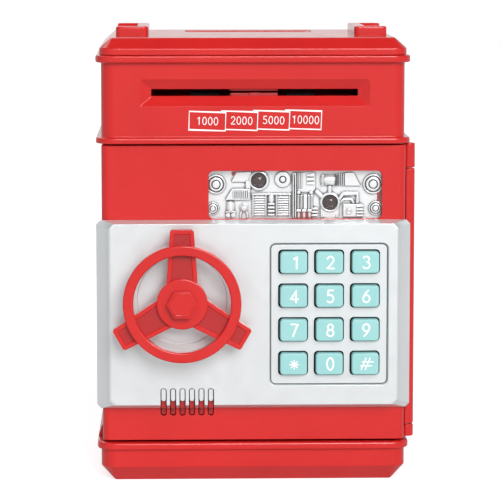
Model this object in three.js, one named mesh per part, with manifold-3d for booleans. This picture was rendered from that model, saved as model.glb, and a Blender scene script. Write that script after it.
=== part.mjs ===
// Toy safe coin bank with a hinged, hand-wheel door, a keypad, a motor-fed note slot and a coin slot.
// Millimetres, +Z up, the front faces -Y. The origin is the centre of the bottom face.
import * as THREE from 'three';
import { mergeVertices } from 'three/addons/utils/BufferGeometryUtils.js';
import Module from 'manifold-3d';

const wasm = await Module();
wasm.setup();

// ---------------------------------------------------------------- driving dimensions
const HALF_WIDTH = 63;
const HALF_DEPTH = 51;
const WALL = 2.5;
const RIB = 2.3;
const CORNER = 5;
const GAP = 0.3;
const CHAMFER = 5;

const FRONT = -HALF_DEPTH;
const BACK = HALF_DEPTH;

// Heights of the stacked casings.
const CHAMFER_TOP = 6.3;
const TRAY_RIB = 13.8;
const TRAY_TOP = 16.9;
const SHELL_LOW = TRAY_TOP + GAP;
const HEAD_LOW = 142;
const HEAD_RIB = 144.5;
const HEAD_TOP_RIB = 175.4;
const HEAD_TOP = 178.4;
const LID_LOW = HEAD_TOP + GAP;
const LID_EDGE = 181.4;
const LID_TOP = 185.6;
const LUG_TOP = 189.4;

// Door, its hinge on the right and the front plane of the silver fascia.
const DOOR_LOW = 17.4;
const DOOR_HIGH = 141.5;
const DOOR_RIGHT = 63.4;
const DOOR_BACK = -41;
const DOOR_SKIN = 2.2;
const HINGE = { x: 65, y: -42, barrel: 2.8, pin: 1.2 };
const FASCIA = { front: -56, halfX: 65.2, faceHalfX: 59.3, low: 32.6, high: 111.3, faceLow: 35, faceHigh: 109.8 };
const FASCIA_BACK = FRONT - GAP;
const COVER = { left: -52, right: 48, low: 24, high: 135, back: -30, wall: 2 };

// Window in the door, hand wheel, keypad and speaker slots.
const WINDOW = { left: -18.5, right: 53.4, low: 110.7, high: 130.6 };
const WHEEL = { x: -29.7, z: 77.6, ringOuter: 24.3, ringInner: 20, tip: 30.4, hub: 10.5 };
const KEY = { pitchX: 14.9, pitchZ: 14.15, halfX: 5.8, halfZ: 4.75, hole: 0.65, travel: 1.2 };
const KEYPAD = { x: 31.3, z: 71.3, halfX: 25.05, halfZ: 30.2 };
const SPEAKER = { count: 6, firstX: -37.5, pitch: 3.94, halfSlot: 1.5, low: 28, high: 40.4 };

// Note slot with its bevelled mouth, and the rollers behind it.
const NOTE = { x: 0.6, z: 163, halfX: 42.8, halfZ: 1.45, mouthX: 47.5, mouthZ: 5.5, throat: -46.5 };
const FEED = { y: -36, z: 156.4, radius: 6.2 };
const PINCH = { y: -36, z: 168.2, radius: 5 };
const DECK_TOP = 144.3;
const GUIDE_HALF = 43.3;

// Gears: one tooth size throughout, set in line behind the feed roller.
const TOOTH = 0.8;
const GEAR_PLAY = 0.15;
const FEED_TEETH = 24;
const IDLER_TEETH = 22;
const PINION_TEETH = 10;
const GEAR_LEFT = 49;
const GEAR_WIDTH = 4;
const IDLER_Y = FEED.y + (TOOTH * (FEED_TEETH + IDLER_TEETH)) / 2 + GEAR_PLAY;
const MOTOR_Y = IDLER_Y + (TOOTH * (IDLER_TEETH + PINION_TEETH)) / 2 + GEAR_PLAY;

// Coin slot in the lid, and the chute under it.
const COIN = { y: 27.1, slotX: 17, slotY: 2.4, mouthX: 28, mouthY: 9 };

// Battery bay in the back wall, three AA cells lying across it.
const CELL = { radius: 7.1, length: 49.5, y: 42, pitch: 15.5, middleZ: 110 };
const BAY = { halfX: 33, low: 85, high: 135, front: 33, wall: 1.5 };
const HATCH = { halfX: 30, low: 86.4, high: 133.2, thickness: 1.5 };

// Lock: a pinion on the wheel's shaft drives a rack on the bolt.
const BOLT = { left: -53.7, right: -14, front: -35.4, back: -32.6, low: 82.5, high: 89.5, travel: 5.6 };
const PLUNGER = { x: -40, radius: 2, travel: 2.8 };

const ROUND_STEPS = 32;
const CORNER_STEPS = 3;

const COLOURS = {
  red: { color: 0xdc3a34, roughness: 0.28, metalness: 0 },
  silver: { color: 0xdadfe2, roughness: 0.4, metalness: 0.15 },
  relief: { color: 0xb9bec2, roughness: 0.35, metalness: 0.5 },
  mint: { color: 0x9fe3da, roughness: 0.45, metalness: 0 },
  clear: { color: 0xf4f8fa, roughness: 0.05, metalness: 0 },
  lens: { color: 0x4a1512, roughness: 0.12, metalness: 0 },
  black: { color: 0x202224, roughness: 0.6, metalness: 0 },
  white: { color: 0xf1f1ee, roughness: 0.5, metalness: 0 },
  rubber: { color: 0x2b2b2d, roughness: 0.85, metalness: 0 },
  steel: { color: 0xa9adb2, roughness: 0.3, metalness: 1 },
  board: { color: 0x1e6b3c, roughness: 0.5, metalness: 0 },
  cell: { color: 0x35618f, roughness: 0.35, metalness: 0.1 },
};

// ---------------------------------------------------------------- shape helpers
function signedVolume(geometry) {
  const position = geometry.attributes.position;
  const index = geometry.index;
  const a = new THREE.Vector3();
  const b = new THREE.Vector3();
  const c = new THREE.Vector3();
  let volume = 0;
  for (let i = 0; i < index.count; i += 3) {
    a.fromBufferAttribute(position, index.getX(i));
    b.fromBufferAttribute(position, index.getX(i + 1));
    c.fromBufferAttribute(position, index.getX(i + 2));
    volume += a.dot(b.cross(c)) / 6;
  }
  return volume;
}

// Keeps the positions only, merges shared corners and turns the faces outwards.
function closed(geometry) {
  geometry.deleteAttribute('normal');
  geometry.deleteAttribute('uv');
  const merged = mergeVertices(geometry, 1e-4);
  if (signedVolume(merged) < 0) {
    merged.index.array.reverse();
  }
  return merged;
}

function solid(geometry) {
  const clean = closed(geometry);
  return new wasm.Manifold(new wasm.Mesh({
    numProp: 3,
    vertProperties: new Float32Array(clean.attributes.position.array),
    triVerts: new Uint32Array(clean.index.array),
  }));
}

function surface(manifold) {
  const mesh = manifold.getMesh();
  const geometry = new THREE.BufferGeometry();
  geometry.setAttribute('position', new THREE.BufferAttribute(new Float32Array(mesh.vertProperties), 3));
  geometry.setIndex(new THREE.BufferAttribute(new Uint32Array(mesh.triVerts), 1));
  return geometry;
}

function join(...pieces) {
  return pieces.reduce((whole, piece) => whole.add(piece));
}

function cut(whole, ...tools) {
  return tools.reduce((rest, tool) => rest.subtract(tool), whole);
}

function box(x0, x1, y0, y1, z0, z1) {
  const geometry = new THREE.BoxGeometry(x1 - x0, y1 - y0, z1 - z0);
  geometry.translate((x0 + x1) / 2, (y0 + y1) / 2, (z0 + z1) / 2);
  return solid(geometry);
}

// Turns local +Z into the front direction (-Y) and local +Y into up.
function facing(geometry) {
  return geometry.rotateX(Math.PI / 2);
}

// Turns local X, Y, Z into Y, Z, X, so that an extruded profile runs across the width.
function across(geometry) {
  const turn = new THREE.Matrix4().makeBasis(
    new THREE.Vector3(0, 1, 0),
    new THREE.Vector3(0, 0, 1),
    new THREE.Vector3(1, 0, 0),
  );
  return geometry.applyMatrix4(turn);
}

function rodX(radius, x0, x1, y, z, steps = ROUND_STEPS) {
  const geometry = new THREE.CylinderGeometry(radius, radius, x1 - x0, steps);
  geometry.rotateZ(Math.PI / 2);
  geometry.translate((x0 + x1) / 2, y, z);
  return solid(geometry);
}

function rodY(radius, y0, y1, x, z, steps = ROUND_STEPS) {
  const geometry = new THREE.CylinderGeometry(radius, radius, y1 - y0, steps);
  geometry.translate(x, (y0 + y1) / 2, z);
  return solid(geometry);
}

function rodZ(radius, z0, z1, x, y, steps = ROUND_STEPS) {
  const geometry = new THREE.CylinderGeometry(radius, radius, z1 - z0, steps);
  geometry.rotateX(Math.PI / 2);
  geometry.translate(x, y, (z0 + z1) / 2);
  return solid(geometry);
}

// A closed round body about the Y axis from a list of [radius, y] points.
function turned(profile, x, z, steps = ROUND_STEPS) {
  const points = profile.map(([radius, y]) => new THREE.Vector2(radius, y));
  const geometry = new THREE.LatheGeometry(points, steps);
  geometry.translate(x, 0, z);
  return solid(geometry);
}

// One rounded rectangle of a loft, at a height along the loft's axis.
function ring(halfX, halfY, radius, height, centreX = 0, centreY = 0) {
  const points = [];
  const corners = [[1, 1], [-1, 1], [-1, -1], [1, -1]];
  corners.forEach(([signX, signY], corner) => {
    for (let step = 0; step <= CORNER_STEPS; step += 1) {
      const angle = ((corner + step / CORNER_STEPS) * Math.PI) / 2;
      points.push(new THREE.Vector3(
        centreX + signX * (halfX - radius) + radius * Math.cos(angle),
        centreY + signY * (halfY - radius) + radius * Math.sin(angle),
        height,
      ));
    }
  });
  return points;
}

function polygonRing(radius, sides, height) {
  const points = [];
  for (let side = 0; side < sides; side += 1) {
    const angle = (side / sides) * 2 * Math.PI;
    points.push(new THREE.Vector3(radius * Math.cos(angle), radius * Math.sin(angle), height));
  }
  return points;
}

// A solid through a stack of outlines with equal point counts, lowest first.
function loftGeometry(rings) {
  const count = rings[0].length;
  const index = [];
  rings.slice(1).forEach((_, level) => {
    const low = level * count;
    const high = low + count;
    for (let i = 0; i < count; i += 1) {
      const next = (i + 1) % count;
      index.push(low + i, low + next, high + next);
      index.push(low + i, high + next, high + i);
    }
  });
  const top = (rings.length - 1) * count;
  for (let i = 1; i < count - 1; i += 1) {
    index.push(0, i + 1, i);
    index.push(top, top + i, top + i + 1);
  }
  const geometry = new THREE.BufferGeometry().setFromPoints(rings.flat());
  geometry.setIndex(index);
  return geometry;
}

function loft(...rings) {
  return solid(loftGeometry(rings));
}

// A loft whose outlines lie in the front plane: each height is the distance in front of y = 0.
function frontLoft(...rings) {
  return solid(facing(loftGeometry(rings)));
}

function extruded(shape, depth) {
  return new THREE.ExtrudeGeometry(shape, { depth, bevelEnabled: false, curveSegments: 12 });
}

// A flat shape drawn in x and z, made solid from yFront back to yBack.
function frontPrism(shape, yFront, yBack) {
  return solid(facing(extruded(shape, yBack - yFront)).translate(0, yBack, 0));
}

// A flat shape drawn in y and z, made solid from x0 to x1.
function acrossPrism(shape, x0, x1) {
  return solid(across(extruded(shape, x1 - x0)).translate(x0, 0, 0));
}

function polygon(points) {
  return new THREE.Shape(points.map(([u, v]) => new THREE.Vector2(u, v)));
}

// A spur gear about the X axis. A tooth points along +Y when phase is 0; phase is in teeth.
function gearX(teeth, x0, x1, y, z, phase) {
  const pitchRadius = (TOOTH * teeth) / 2;
  const pitchAngle = (2 * Math.PI) / teeth;
  const flank = [[-1.1, 0.29], [0, 0.2], [0.8, 0.11]];
  const points = [];
  for (let tooth = 0; tooth < teeth; tooth += 1) {
    const middle = (tooth + phase) * pitchAngle;
    const sides = [...flank.map(([rise, half]) => [rise, -half]), ...flank.slice().reverse()];
    sides.forEach(([rise, half]) => {
      const radius = pitchRadius + rise * TOOTH;
      const angle = middle + half * pitchAngle;
      points.push([y + radius * Math.cos(angle), z + radius * Math.sin(angle)]);
    });
  }
  return acrossPrism(polygon(points), x0, x1);
}

function screw(head, headDepth, shank, length) {
  const cap = new THREE.CylinderGeometry(head, head, headDepth, 12);
  cap.translate(0, -headDepth / 2, 0);
  const stem = new THREE.CylinderGeometry(shank, shank, length, 8);
  stem.translate(0, length / 2, 0);
  const slot = new THREE.BoxGeometry(head * 1.1, 0.5, 0.5);
  slot.translate(0, -headDepth, 0);
  const crossSlot = slot.clone().rotateY(Math.PI / 2);
  stem.translate(0, -0.1, 0);
  return surface(cut(join(solid(cap), solid(stem)), solid(slot), solid(crossSlot)));
}

// ---------------------------------------------------------------- casings
function baseTray() {
  const outside = loft(
    ring(HALF_WIDTH - CHAMFER, HALF_DEPTH - CHAMFER, 3.5, 0),
    ring(HALF_WIDTH, HALF_DEPTH, CORNER, CHAMFER_TOP),
    ring(HALF_WIDTH, HALF_DEPTH, CORNER, TRAY_RIB),
    ring(HALF_WIDTH + RIB, HALF_DEPTH + RIB, CORNER + 1, TRAY_RIB),
    ring(HALF_WIDTH + RIB, HALF_DEPTH + RIB, CORNER + 1, TRAY_TOP),
  );
  const inside = loft(
    ring(56.8, 44.8, 3, WALL),
    ring(HALF_WIDTH - WALL, HALF_DEPTH - WALL, 3, CHAMFER_TOP + 0.7),
    ring(HALF_WIDTH - WALL, HALF_DEPTH - WALL, 3, TRAY_TOP + 1),
  );
  let tray = cut(outside, inside);
  for (const [x, y] of SCREW_SPOTS) {
    tray = join(tray, rodZ(4, WALL - 0.5, 12, x, y, 16));
    tray = cut(tray, rodZ(3.6, -1, 1.8, x, y, 16), rodZ(1.5, 0, 11, x, y, 10));
  }
  return join(tray, sideGusset());
}

// A small wedge on top of the tray's rim, just outside the left wall.
function sideGusset() {
  const inner = -HALF_WIDTH - GAP;
  const profile = polygon([
    [inner, TRAY_TOP - 0.3],
    [inner, TRAY_TOP + 4.6],
    [inner - 0.3, TRAY_TOP + 4.6],
    [inner - 1.9, TRAY_TOP],
    [inner - 1.9, TRAY_TOP - 0.3],
  ]);
  return frontPrism(profile, -36, -26);
}

const SCREW_SPOTS = [[-48, -36], [48, -36], [-48, 36], [48, 36]];

function caseShell() {
  const outside = loft(
    ring(HALF_WIDTH, HALF_DEPTH, CORNER, SHELL_LOW),
    ring(HALF_WIDTH, HALF_DEPTH, CORNER, HEAD_LOW - GAP),
  );
  const inside = loft(
    ring(HALF_WIDTH - WALL, HALF_DEPTH - WALL, 3, SHELL_LOW - 1),
    ring(HALF_WIDTH - WALL, HALF_DEPTH - WALL, 3, HEAD_LOW + 1),
  );
  const doorway = box(-70, 70, -60, -38.5, 0, 160);
  const jambs = [-1, 1].map((side) => {
    const edges = [side * 57, side * 61.5].sort((a, b) => a - b);
    return box(edges[0], edges[1], -38.5, -36.9, SHELL_LOW, HEAD_LOW - GAP);
  });
  const hatch = box(-HATCH.halfX, HATCH.halfX, 40, 60, HATCH.low, HATCH.high);
  return cut(join(cut(outside, inside, doorway), ...jambs), hatch);
}

function headShell() {
  const wide = [HALF_WIDTH + RIB, HALF_DEPTH + RIB, CORNER + 1];
  const narrow = [HALF_WIDTH, HALF_DEPTH, CORNER];
  const outside = loft(
    ring(...wide, HEAD_LOW),
    ring(...wide, HEAD_RIB),
    ring(...narrow, HEAD_RIB),
    ring(...narrow, HEAD_TOP_RIB),
    ring(...wide, HEAD_TOP_RIB),
    ring(...wide, HEAD_TOP),
  );
  const inside = loft(
    ring(HALF_WIDTH - WALL, HALF_DEPTH - WALL, 3, HEAD_LOW - 1),
    ring(HALF_WIDTH - WALL, HALF_DEPTH - WALL, 3, HEAD_TOP + 1),
  );
  const lintel = box(NOTE.x - 48.2, NOTE.x + 48.2, -49.5, -45, 155.5, 170.5);
  const mouth = frontLoft(
    ring(NOTE.halfX, NOTE.halfZ, 0.4, -NOTE.throat, NOTE.x, NOTE.z),
    ring(NOTE.mouthX, NOTE.mouthZ, 0.8, -FRONT, NOTE.x, NOTE.z),
    ring(NOTE.mouthX, NOTE.mouthZ, 0.8, -FRONT + 1, NOTE.x, NOTE.z),
  );
  const throat = frontLoft(
    ring(NOTE.halfX, NOTE.halfZ, 0.4, 44, NOTE.x, NOTE.z),
    ring(NOTE.halfX, NOTE.halfZ, 0.4, 47, NOTE.x, NOTE.z),
  );
  return cut(join(cut(outside, inside), lintel), mouth, throat);
}

// One of the two C-shaped lugs on the lid, its open side facing outwards.
function lidLug(side) {
  const block = loft(
    ring(6.05, 23, 2.2, LID_TOP - 0.2, side * 50.35, 0),
    ring(6.05, 23, 2.2, LUG_TOP - 0.8, side * 50.35, 0),
    ring(5.45, 22.4, 1.8, LUG_TOP, side * 50.35, 0),
  );
  const edges = [side * 48.2, side * 60].sort((a, b) => a - b);
  const pocket = box(edges[0], edges[1], -18.8, 18.8, LID_TOP, LUG_TOP + 1);
  return cut(block, pocket);
}

function topLid() {
  const outside = loft(
    ring(63.7, 51.7, 5.6, LID_LOW),
    ring(63.7, 51.7, 5.6, LID_EDGE),
    ring(58.8, 46.8, 4, LID_TOP),
  );
  const inside = loft(
    ring(61.2, 49.2, 4, LID_LOW - 1),
    ring(61.2, 49.2, 4, LID_EDGE - 0.8),
    ring(57, 45, 3, LID_TOP - 2.4),
  );
  const block = box(-COIN.mouthX - 3, COIN.mouthX + 3, COIN.y - 11.5, COIN.y + 11.5, LID_LOW, LID_TOP - 2);
  const mouth = loft(
    ring(COIN.slotX, COIN.slotY, 0.6, LID_LOW + 2, 0, COIN.y),
    ring(COIN.mouthX, COIN.mouthY, 2, LID_TOP, 0, COIN.y),
    ring(COIN.mouthX, COIN.mouthY, 2, LID_TOP + 1, 0, COIN.y),
  );
  const slot = loft(
    ring(COIN.slotX, COIN.slotY, 0.6, LID_LOW - 1, 0, COIN.y),
    ring(COIN.slotX, COIN.slotY, 0.6, LID_LOW + 2.2, 0, COIN.y),
  );
  return cut(join(cut(outside, inside), block, lidLug(-1), lidLug(1)), mouth, slot);
}

// ---------------------------------------------------------------- note and coin path
function mechanismDeck() {
  const plate = loft(ring(60.2, 48.2, 2.8, HEAD_LOW + GAP), ring(60.2, 48.2, 2.8, DECK_TOP));
  const noteOutlet = box(-44, 44, -28, -14, 140, 150);
  const coinOutlet = box(-17.2, 17.2, COIN.y - 2.7, COIN.y + 2.7, 140, 150);
  return join(cut(plate, noteOutlet, coinOutlet), rollerBracket(-1), rollerBracket(1), motorCradle());
}

function coinChute() {
  const outside = loft(
    ring(19, 4.5, 1, HEAD_LOW + 2.6, 0, COIN.y),
    ring(19, 4.5, 1, HEAD_TOP - 0.1, 0, COIN.y),
  );
  const inside = loft(
    ring(17.2, 2.7, 0.3, HEAD_LOW, 0, COIN.y),
    ring(17.2, 2.7, 0.3, HEAD_TOP + 1, 0, COIN.y),
  );
  return cut(outside, inside);
}

// Windows in the guide plates where the rollers reach the note.
function rollerWindows(z0, z1) {
  return ROLLER_SPOTS.map((x) => box(x - 7, x + 7, -43, -29.4, z0, z1));
}

const ROLLER_SPOTS = [-20, 20];
const ROLLER_HALF = 6;

function lowerNoteGuide() {
  const profile = new THREE.Shape();
  profile.moveTo(-44.7, 160.3);
  profile.lineTo(-31.5, 160.3);
  profile.absarc(-31.5, 158, 2.3, Math.PI / 2, 0, true);
  profile.lineTo(-29.2, 145);
  profile.lineTo(-28.1, 145);
  profile.lineTo(-28.1, 158);
  profile.absarc(-31.5, 158, 3.4, 0, Math.PI / 2, false);
  profile.lineTo(-44.7, 161.4);
  const plate = acrossPrism(profile, -GUIDE_HALF, GUIDE_HALF);
  const nose = box(-9.7, 9.7, -44.7, -43, 161.2, 162.3);
  return cut(join(plate, nose), ...rollerWindows(158.9, 163));
}

function upperNoteGuide() {
  const bend = { y: -25.5, z: 154.6, inner: 10, outer: 11 };
  const profile = new THREE.Shape();
  profile.moveTo(-44.7, bend.z + bend.inner);
  profile.lineTo(bend.y, bend.z + bend.inner);
  profile.absarc(bend.y, bend.z, bend.inner, Math.PI / 2, 0, true);
  profile.lineTo(bend.y + bend.inner, 145);
  profile.lineTo(bend.y + bend.outer, 145);
  profile.lineTo(bend.y + bend.outer, bend.z);
  profile.absarc(bend.y, bend.z, bend.outer, 0, Math.PI / 2, false);
  profile.lineTo(-44.7, bend.z + bend.outer);
  const plate = acrossPrism(profile, -GUIDE_HALF, GUIDE_HALF);
  const nose = box(-9.7, 9.7, -44.7, -43, 163.6, 164.8);
  return cut(join(plate, nose), ...rollerWindows(163, 167));
}

function rollerBracket(side) {
  const x0 = side > 0 ? 45.5 : -47;
  const x1 = x0 + 1.5;
  const rear = side > 0 ? 7 : -24;
  const plate = join(
    box(x0, x1, -43, -24, DECK_TOP - 0.3, 174),
    box(x0, x1, -25, rear, DECK_TOP - 0.3, 167),
  );
  const holes = [
    rodX(1.9, x0 - 1, x1 + 1, FEED.y, FEED.z, 24),
    rodX(1.6, x0 - 1, x1 + 1, PINCH.y, PINCH.z, 24),
  ];
  if (side < 0) {
    return cut(plate, ...holes);
  }
  const motorHole = rodX(3.2, x0 - 1, x1 + 1, MOTOR_Y, FEED.z, 24);
  const idlerAxle = rodX(1.5, x0 + 0.5, GEAR_LEFT + GEAR_WIDTH + 1, IDLER_Y, FEED.z, 20);
  return join(cut(plate, ...holes, motorHole), idlerAxle);
}

function feedShaft() {
  return rodX(1.5, -49, GEAR_LEFT + GEAR_WIDTH + 1.5, FEED.y, FEED.z, 20);
}

function pinchShaft() {
  return rodX(1.25, -49, 49, PINCH.y, PINCH.z, 20);
}

// Two rubber tyres moulded on one sleeve.
function rollerPair(roller, bore) {
  const tyres = ROLLER_SPOTS.map((x) => rodX(
    roller.radius,
    x - ROLLER_HALF,
    x + ROLLER_HALF,
    roller.y,
    roller.z,
    28,
  ));
  const sleeve = rodX(bore + 0.9, -27, 27, roller.y, roller.z, 20);
  return cut(join(...tyres, sleeve), rodX(bore, -30, 30, roller.y, roller.z, 16));
}

function feedGear() {
  const gear = gearX(FEED_TEETH, GEAR_LEFT, GEAR_LEFT + GEAR_WIDTH, FEED.y, FEED.z, 0);
  return cut(gear, rodX(1.8, 40, 60, FEED.y, FEED.z, 16));
}

// The idler starts half a tooth on, so that its gap faces the feed gear's tooth at rest.
function idlerGear() {
  const phase = IDLER_TEETH / 2 + 0.5;
  const gear = gearX(IDLER_TEETH, GEAR_LEFT, GEAR_LEFT + GEAR_WIDTH, IDLER_Y, FEED.z, phase);
  return cut(gear, rodX(1.8, 40, 60, IDLER_Y, FEED.z, 16));
}

// Joined to its shaft, which ends inside the motor's nose.
function motorPinion() {
  const gear = gearX(PINION_TEETH, GEAR_LEFT, GEAR_LEFT + GEAR_WIDTH, MOTOR_Y, FEED.z, 0);
  return join(gear, rodX(1, 44.5, GEAR_LEFT + 1, MOTOR_Y, FEED.z, 16));
}

function feedMotor() {
  const can = rodX(10, 18, 42, MOTOR_Y, FEED.z, 36);
  const flats = [
    box(10, 50, MOTOR_Y - 20, MOTOR_Y - 7.5, 140, 170),
    box(10, 50, MOTOR_Y + 7.5, MOTOR_Y + 20, 140, 170),
  ];
  const nose = rodX(2.8, 41, 44.6, MOTOR_Y, FEED.z, 20);
  const bore = rodX(1.3, 43.6, 50, MOTOR_Y, FEED.z, 16);
  return cut(join(cut(can, ...flats), nose), bore);
}

function motorCradle() {
  const block = box(22, 38, MOTOR_Y - 9.2, MOTOR_Y + 9.2, DECK_TOP - 0.3, 152);
  const seat = rodX(10.3, 10, 50, MOTOR_Y, FEED.z);
  const between = box(10, 50, MOTOR_Y - 7.8, MOTOR_Y + 7.8, 140, 160);
  return cut(block, seat.intersect(between), between.intersect(box(10, 50, -40, 40, 149, 160)));
}

// ---------------------------------------------------------------- battery bay
function batteryBox() {
  const outside = box(-BAY.halfX, BAY.halfX, BAY.front, BACK - WALL - GAP, BAY.low, BAY.high);
  const inside = box(
    -BAY.halfX + BAY.wall,
    BAY.halfX - BAY.wall,
    BAY.front + BAY.wall,
    BACK,
    BAY.low + BAY.wall,
    BAY.high - BAY.wall,
  );
  return cut(outside, inside);
}

function cellHeight(row) {
  return CELL.middleZ + (row - 1) * CELL.pitch;
}

// Cells alternate direction; the raised end is the positive one.
function batteryCell(row) {
  const side = row % 2 === 0 ? 1 : -1;
  const half = CELL.length / 2;
  const nub = side > 0 ? [half - 0.2, half + 1] : [-half - 1, -half + 0.2];
  const z = cellHeight(row);
  return join(rodX(CELL.radius, -half, half, CELL.y, z, 24), rodX(2.6, nub[0], nub[1], CELL.y, z, 12));
}

// One contact strip, with a conical spring or a raised pad facing each cell's end.
function batteryContacts(side) {
  const edges = [side * 30.2, side * 31.1].sort((a, b) => a - b);
  let strip = box(edges[0], edges[1], CELL.y - 5.5, CELL.y + 5.5, cellHeight(0) - 6, cellHeight(2) + 6);
  for (let row = 0; row < 3; row += 1) {
    const positive = (row % 2 === 0) === (side > 0);
    const reach = positive ? 4 : 5;
    const cone = new THREE.CylinderGeometry(positive ? 2 : 2.4, 4.2, reach, 12);
    cone.rotateZ((side * Math.PI) / 2);
    cone.translate(side * (30.3 - reach / 2), CELL.y, cellHeight(row));
    strip = join(strip, solid(cone));
  }
  return strip;
}

function batteryCover() {
  const inset = 0.3;
  const plate = box(
    -HATCH.halfX + inset,
    HATCH.halfX - inset,
    BACK - HATCH.thickness,
    BACK,
    HATCH.low + 0.7,
    HATCH.high - inset,
  );
  let cover = plate;
  for (let bar = 0; bar < 5; bar += 1) {
    const z = 96 + bar * 3;
    cover = cut(cover, box(-9, 9, BACK - 0.6, BACK + 1, z, z + 1.2));
  }
  return cut(cover, rodY(1.6, BACK - 3, BACK + 1, 0, HATCH.high - 5.4, 16));
}

function coverScrew() {
  return screw(2.7, 1.1, 1.2, 1.3).rotateX(Math.PI).translate(0, BACK + GAP, HATCH.high - 5.4);
}

// ---------------------------------------------------------------- door
function doorPanel() {
  const middleX = (DOOR_RIGHT - HALF_WIDTH) / 2;
  const halfX = (DOOR_RIGHT + HALF_WIDTH) / 2;
  const middleZ = (DOOR_LOW + DOOR_HIGH) / 2;
  const halfZ = (DOOR_HIGH - DOOR_LOW) / 2;
  const round = 1.6;
  const outside = frontLoft(
    ring(halfX, halfZ, 0.6, -DOOR_BACK, middleX, middleZ),
    ring(halfX, halfZ, 0.6, -FRONT - 2 * round, middleX, middleZ),
    ring(halfX - 0.6 * round, halfZ - 0.2, 0.6, -FRONT - 0.7 * round, middleX, middleZ),
    ring(halfX - 2 * round, halfZ - 0.4, 0.6, -FRONT, middleX, middleZ),
  );
  const inside = frontLoft(
    ring(halfX - DOOR_SKIN - 0.2, halfZ - DOOR_SKIN, 0.6, -DOOR_BACK - 1, middleX, middleZ),
    ring(halfX - DOOR_SKIN - 0.2, halfZ - DOOR_SKIN, 0.6, -FRONT - DOOR_SKIN, middleX, middleZ),
  );
  const barrelRoom = rodZ(HINGE.barrel + 0.5, 0, 160, HINGE.x, HINGE.y, 24);
  const rearRoom = box(60, 66, HINGE.y - 3.3, -30, 0, 160);
  return cut(
    outside,
    inside,
    barrelRoom,
    rearRoom,
    windowHole(),
    keypadHole(),
    rodY(3.5, -60, -40, WHEEL.x, WHEEL.z, 24),
    ...speakerSlots(),
  );
}

function windowHole() {
  return frontLoft(...[40, 60].map((depth) => ring(
    (WINDOW.right - WINDOW.left) / 2,
    (WINDOW.high - WINDOW.low) / 2,
    2,
    depth,
    (WINDOW.right + WINDOW.left) / 2,
    (WINDOW.high + WINDOW.low) / 2,
  )));
}

function keypadHole() {
  return box(KEYPAD.x - 23.3, KEYPAD.x + 23.3, -60, -45, KEYPAD.z - 28.4, KEYPAD.z + 28.4);
}

function speakerSlots() {
  const slots = [];
  const halfZ = (SPEAKER.high - SPEAKER.low) / 2;
  for (let slot = 0; slot < SPEAKER.count; slot += 1) {
    const x = SPEAKER.firstX + slot * SPEAKER.pitch;
    slots.push(frontLoft(...[45, 60].map((depth) => ring(
      SPEAKER.halfSlot,
      halfZ,
      SPEAKER.halfSlot - 0.01,
      depth,
      x,
      SPEAKER.low + halfZ,
    ))));
  }
  return slots;
}

function doorBackCover() {
  const { left, right, low, high, back, wall } = COVER;
  const rim = box(-60.2, 57, -43.2, DOOR_BACK, DOOR_LOW + DOOR_SKIN + 0.3, DOOR_HIGH - DOOR_SKIN - 0.3);
  const shell = frontLoft(
    ring((right - left) / 2 - 1.5, (high - low) / 2 - 1.5, 2, -back, (left + right) / 2, (low + high) / 2),
    ring((right - left) / 2, (high - low) / 2, 3, -back + 1.5, (left + right) / 2, (low + high) / 2),
    ring((right - left) / 2, (high - low) / 2, 3, 43, (left + right) / 2, (low + high) / 2),
  );
  const inside = box(left + wall, right - wall, -45, back - wall, low + wall, high - wall);
  const boltHole = box(left - 5, left + 5, BOLT.front - 0.4, BOLT.back + 0.4, BOLT.low - 0.4, BOLT.high + 0.4);
  const holes = DOOR_SCREW_SPOTS.map(([x, z]) => rodY(1.5, -46, -38, x, z, 16));
  return cut(join(rim, shell), inside, boltHole, ...holes);
}

const DOOR_SCREW_SPOTS = [[-56, 26], [-56, 79], [-56, 133], [52.5, 26], [52.5, 79], [52.5, 133]];

function fasciaRing(halfX, low, high, radius, depth) {
  return ring(halfX, (high - low) / 2, radius, depth, 0, (high + low) / 2);
}

function silverFascia() {
  const { halfX, faceHalfX, low, high, faceLow, faceHigh, front } = FASCIA;
  const outside = frontLoft(
    fasciaRing(halfX, low, high, 1.5, -FASCIA_BACK),
    fasciaRing(halfX, low, high, 1.5, -FASCIA_BACK + 0.4),
    fasciaRing(faceHalfX + 0.8, faceLow - 0.5, faceHigh + 0.3, 2, -front - 0.35),
    fasciaRing(faceHalfX, faceLow, faceHigh, 2, -front),
  );
  const inside = frontLoft(
    fasciaRing(halfX - 2, low + 1.8, high - 1.8, 1, -FASCIA_BACK - 1),
    fasciaRing(halfX - 2, low + 1.8, high - 1.8, 1, -FASCIA_BACK + 0.2),
    fasciaRing(faceHalfX - 1, faceLow + 1.4, faceHigh - 1.4, 1, -front - 1.8),
  );
  const wings = [-1, 1].map((side) => {
    const edges = [side * 63.75, side * halfX].sort((a, b) => a - b);
    return box(edges[0], edges[1], FASCIA_BACK - 0.2, -47, low, high);
  });
  const collar = rodY(8, front - 2, front + 1, WHEEL.x, WHEEL.z);
  const dish = cut(
    rodY(18.7, front - 1, front + 0.5, WHEEL.x, WHEEL.z, 40),
    rodY(8, front - 2, front + 2, WHEEL.x, WHEEL.z),
  );
  const frame = cut(
    frontLoft(...[-front - 0.6, -front + 1].map((d) => ring(KEYPAD.halfX, KEYPAD.halfZ, 2, d, KEYPAD.x, KEYPAD.z))),
    frontLoft(...[50, 60].map((d) => ring(KEYPAD.halfX - 0.8, KEYPAD.halfZ - 0.8, 1.4, d, KEYPAD.x, KEYPAD.z))),
  );
  return cut(
    join(cut(outside, inside), ...wings, collar),
    dish,
    frame,
    rodY(3.5, -60, -40, WHEEL.x, WHEEL.z, 24),
    ...KEYS.map((key) => keyHole(key)),
    ...speakerSlots(),
  );
}

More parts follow.
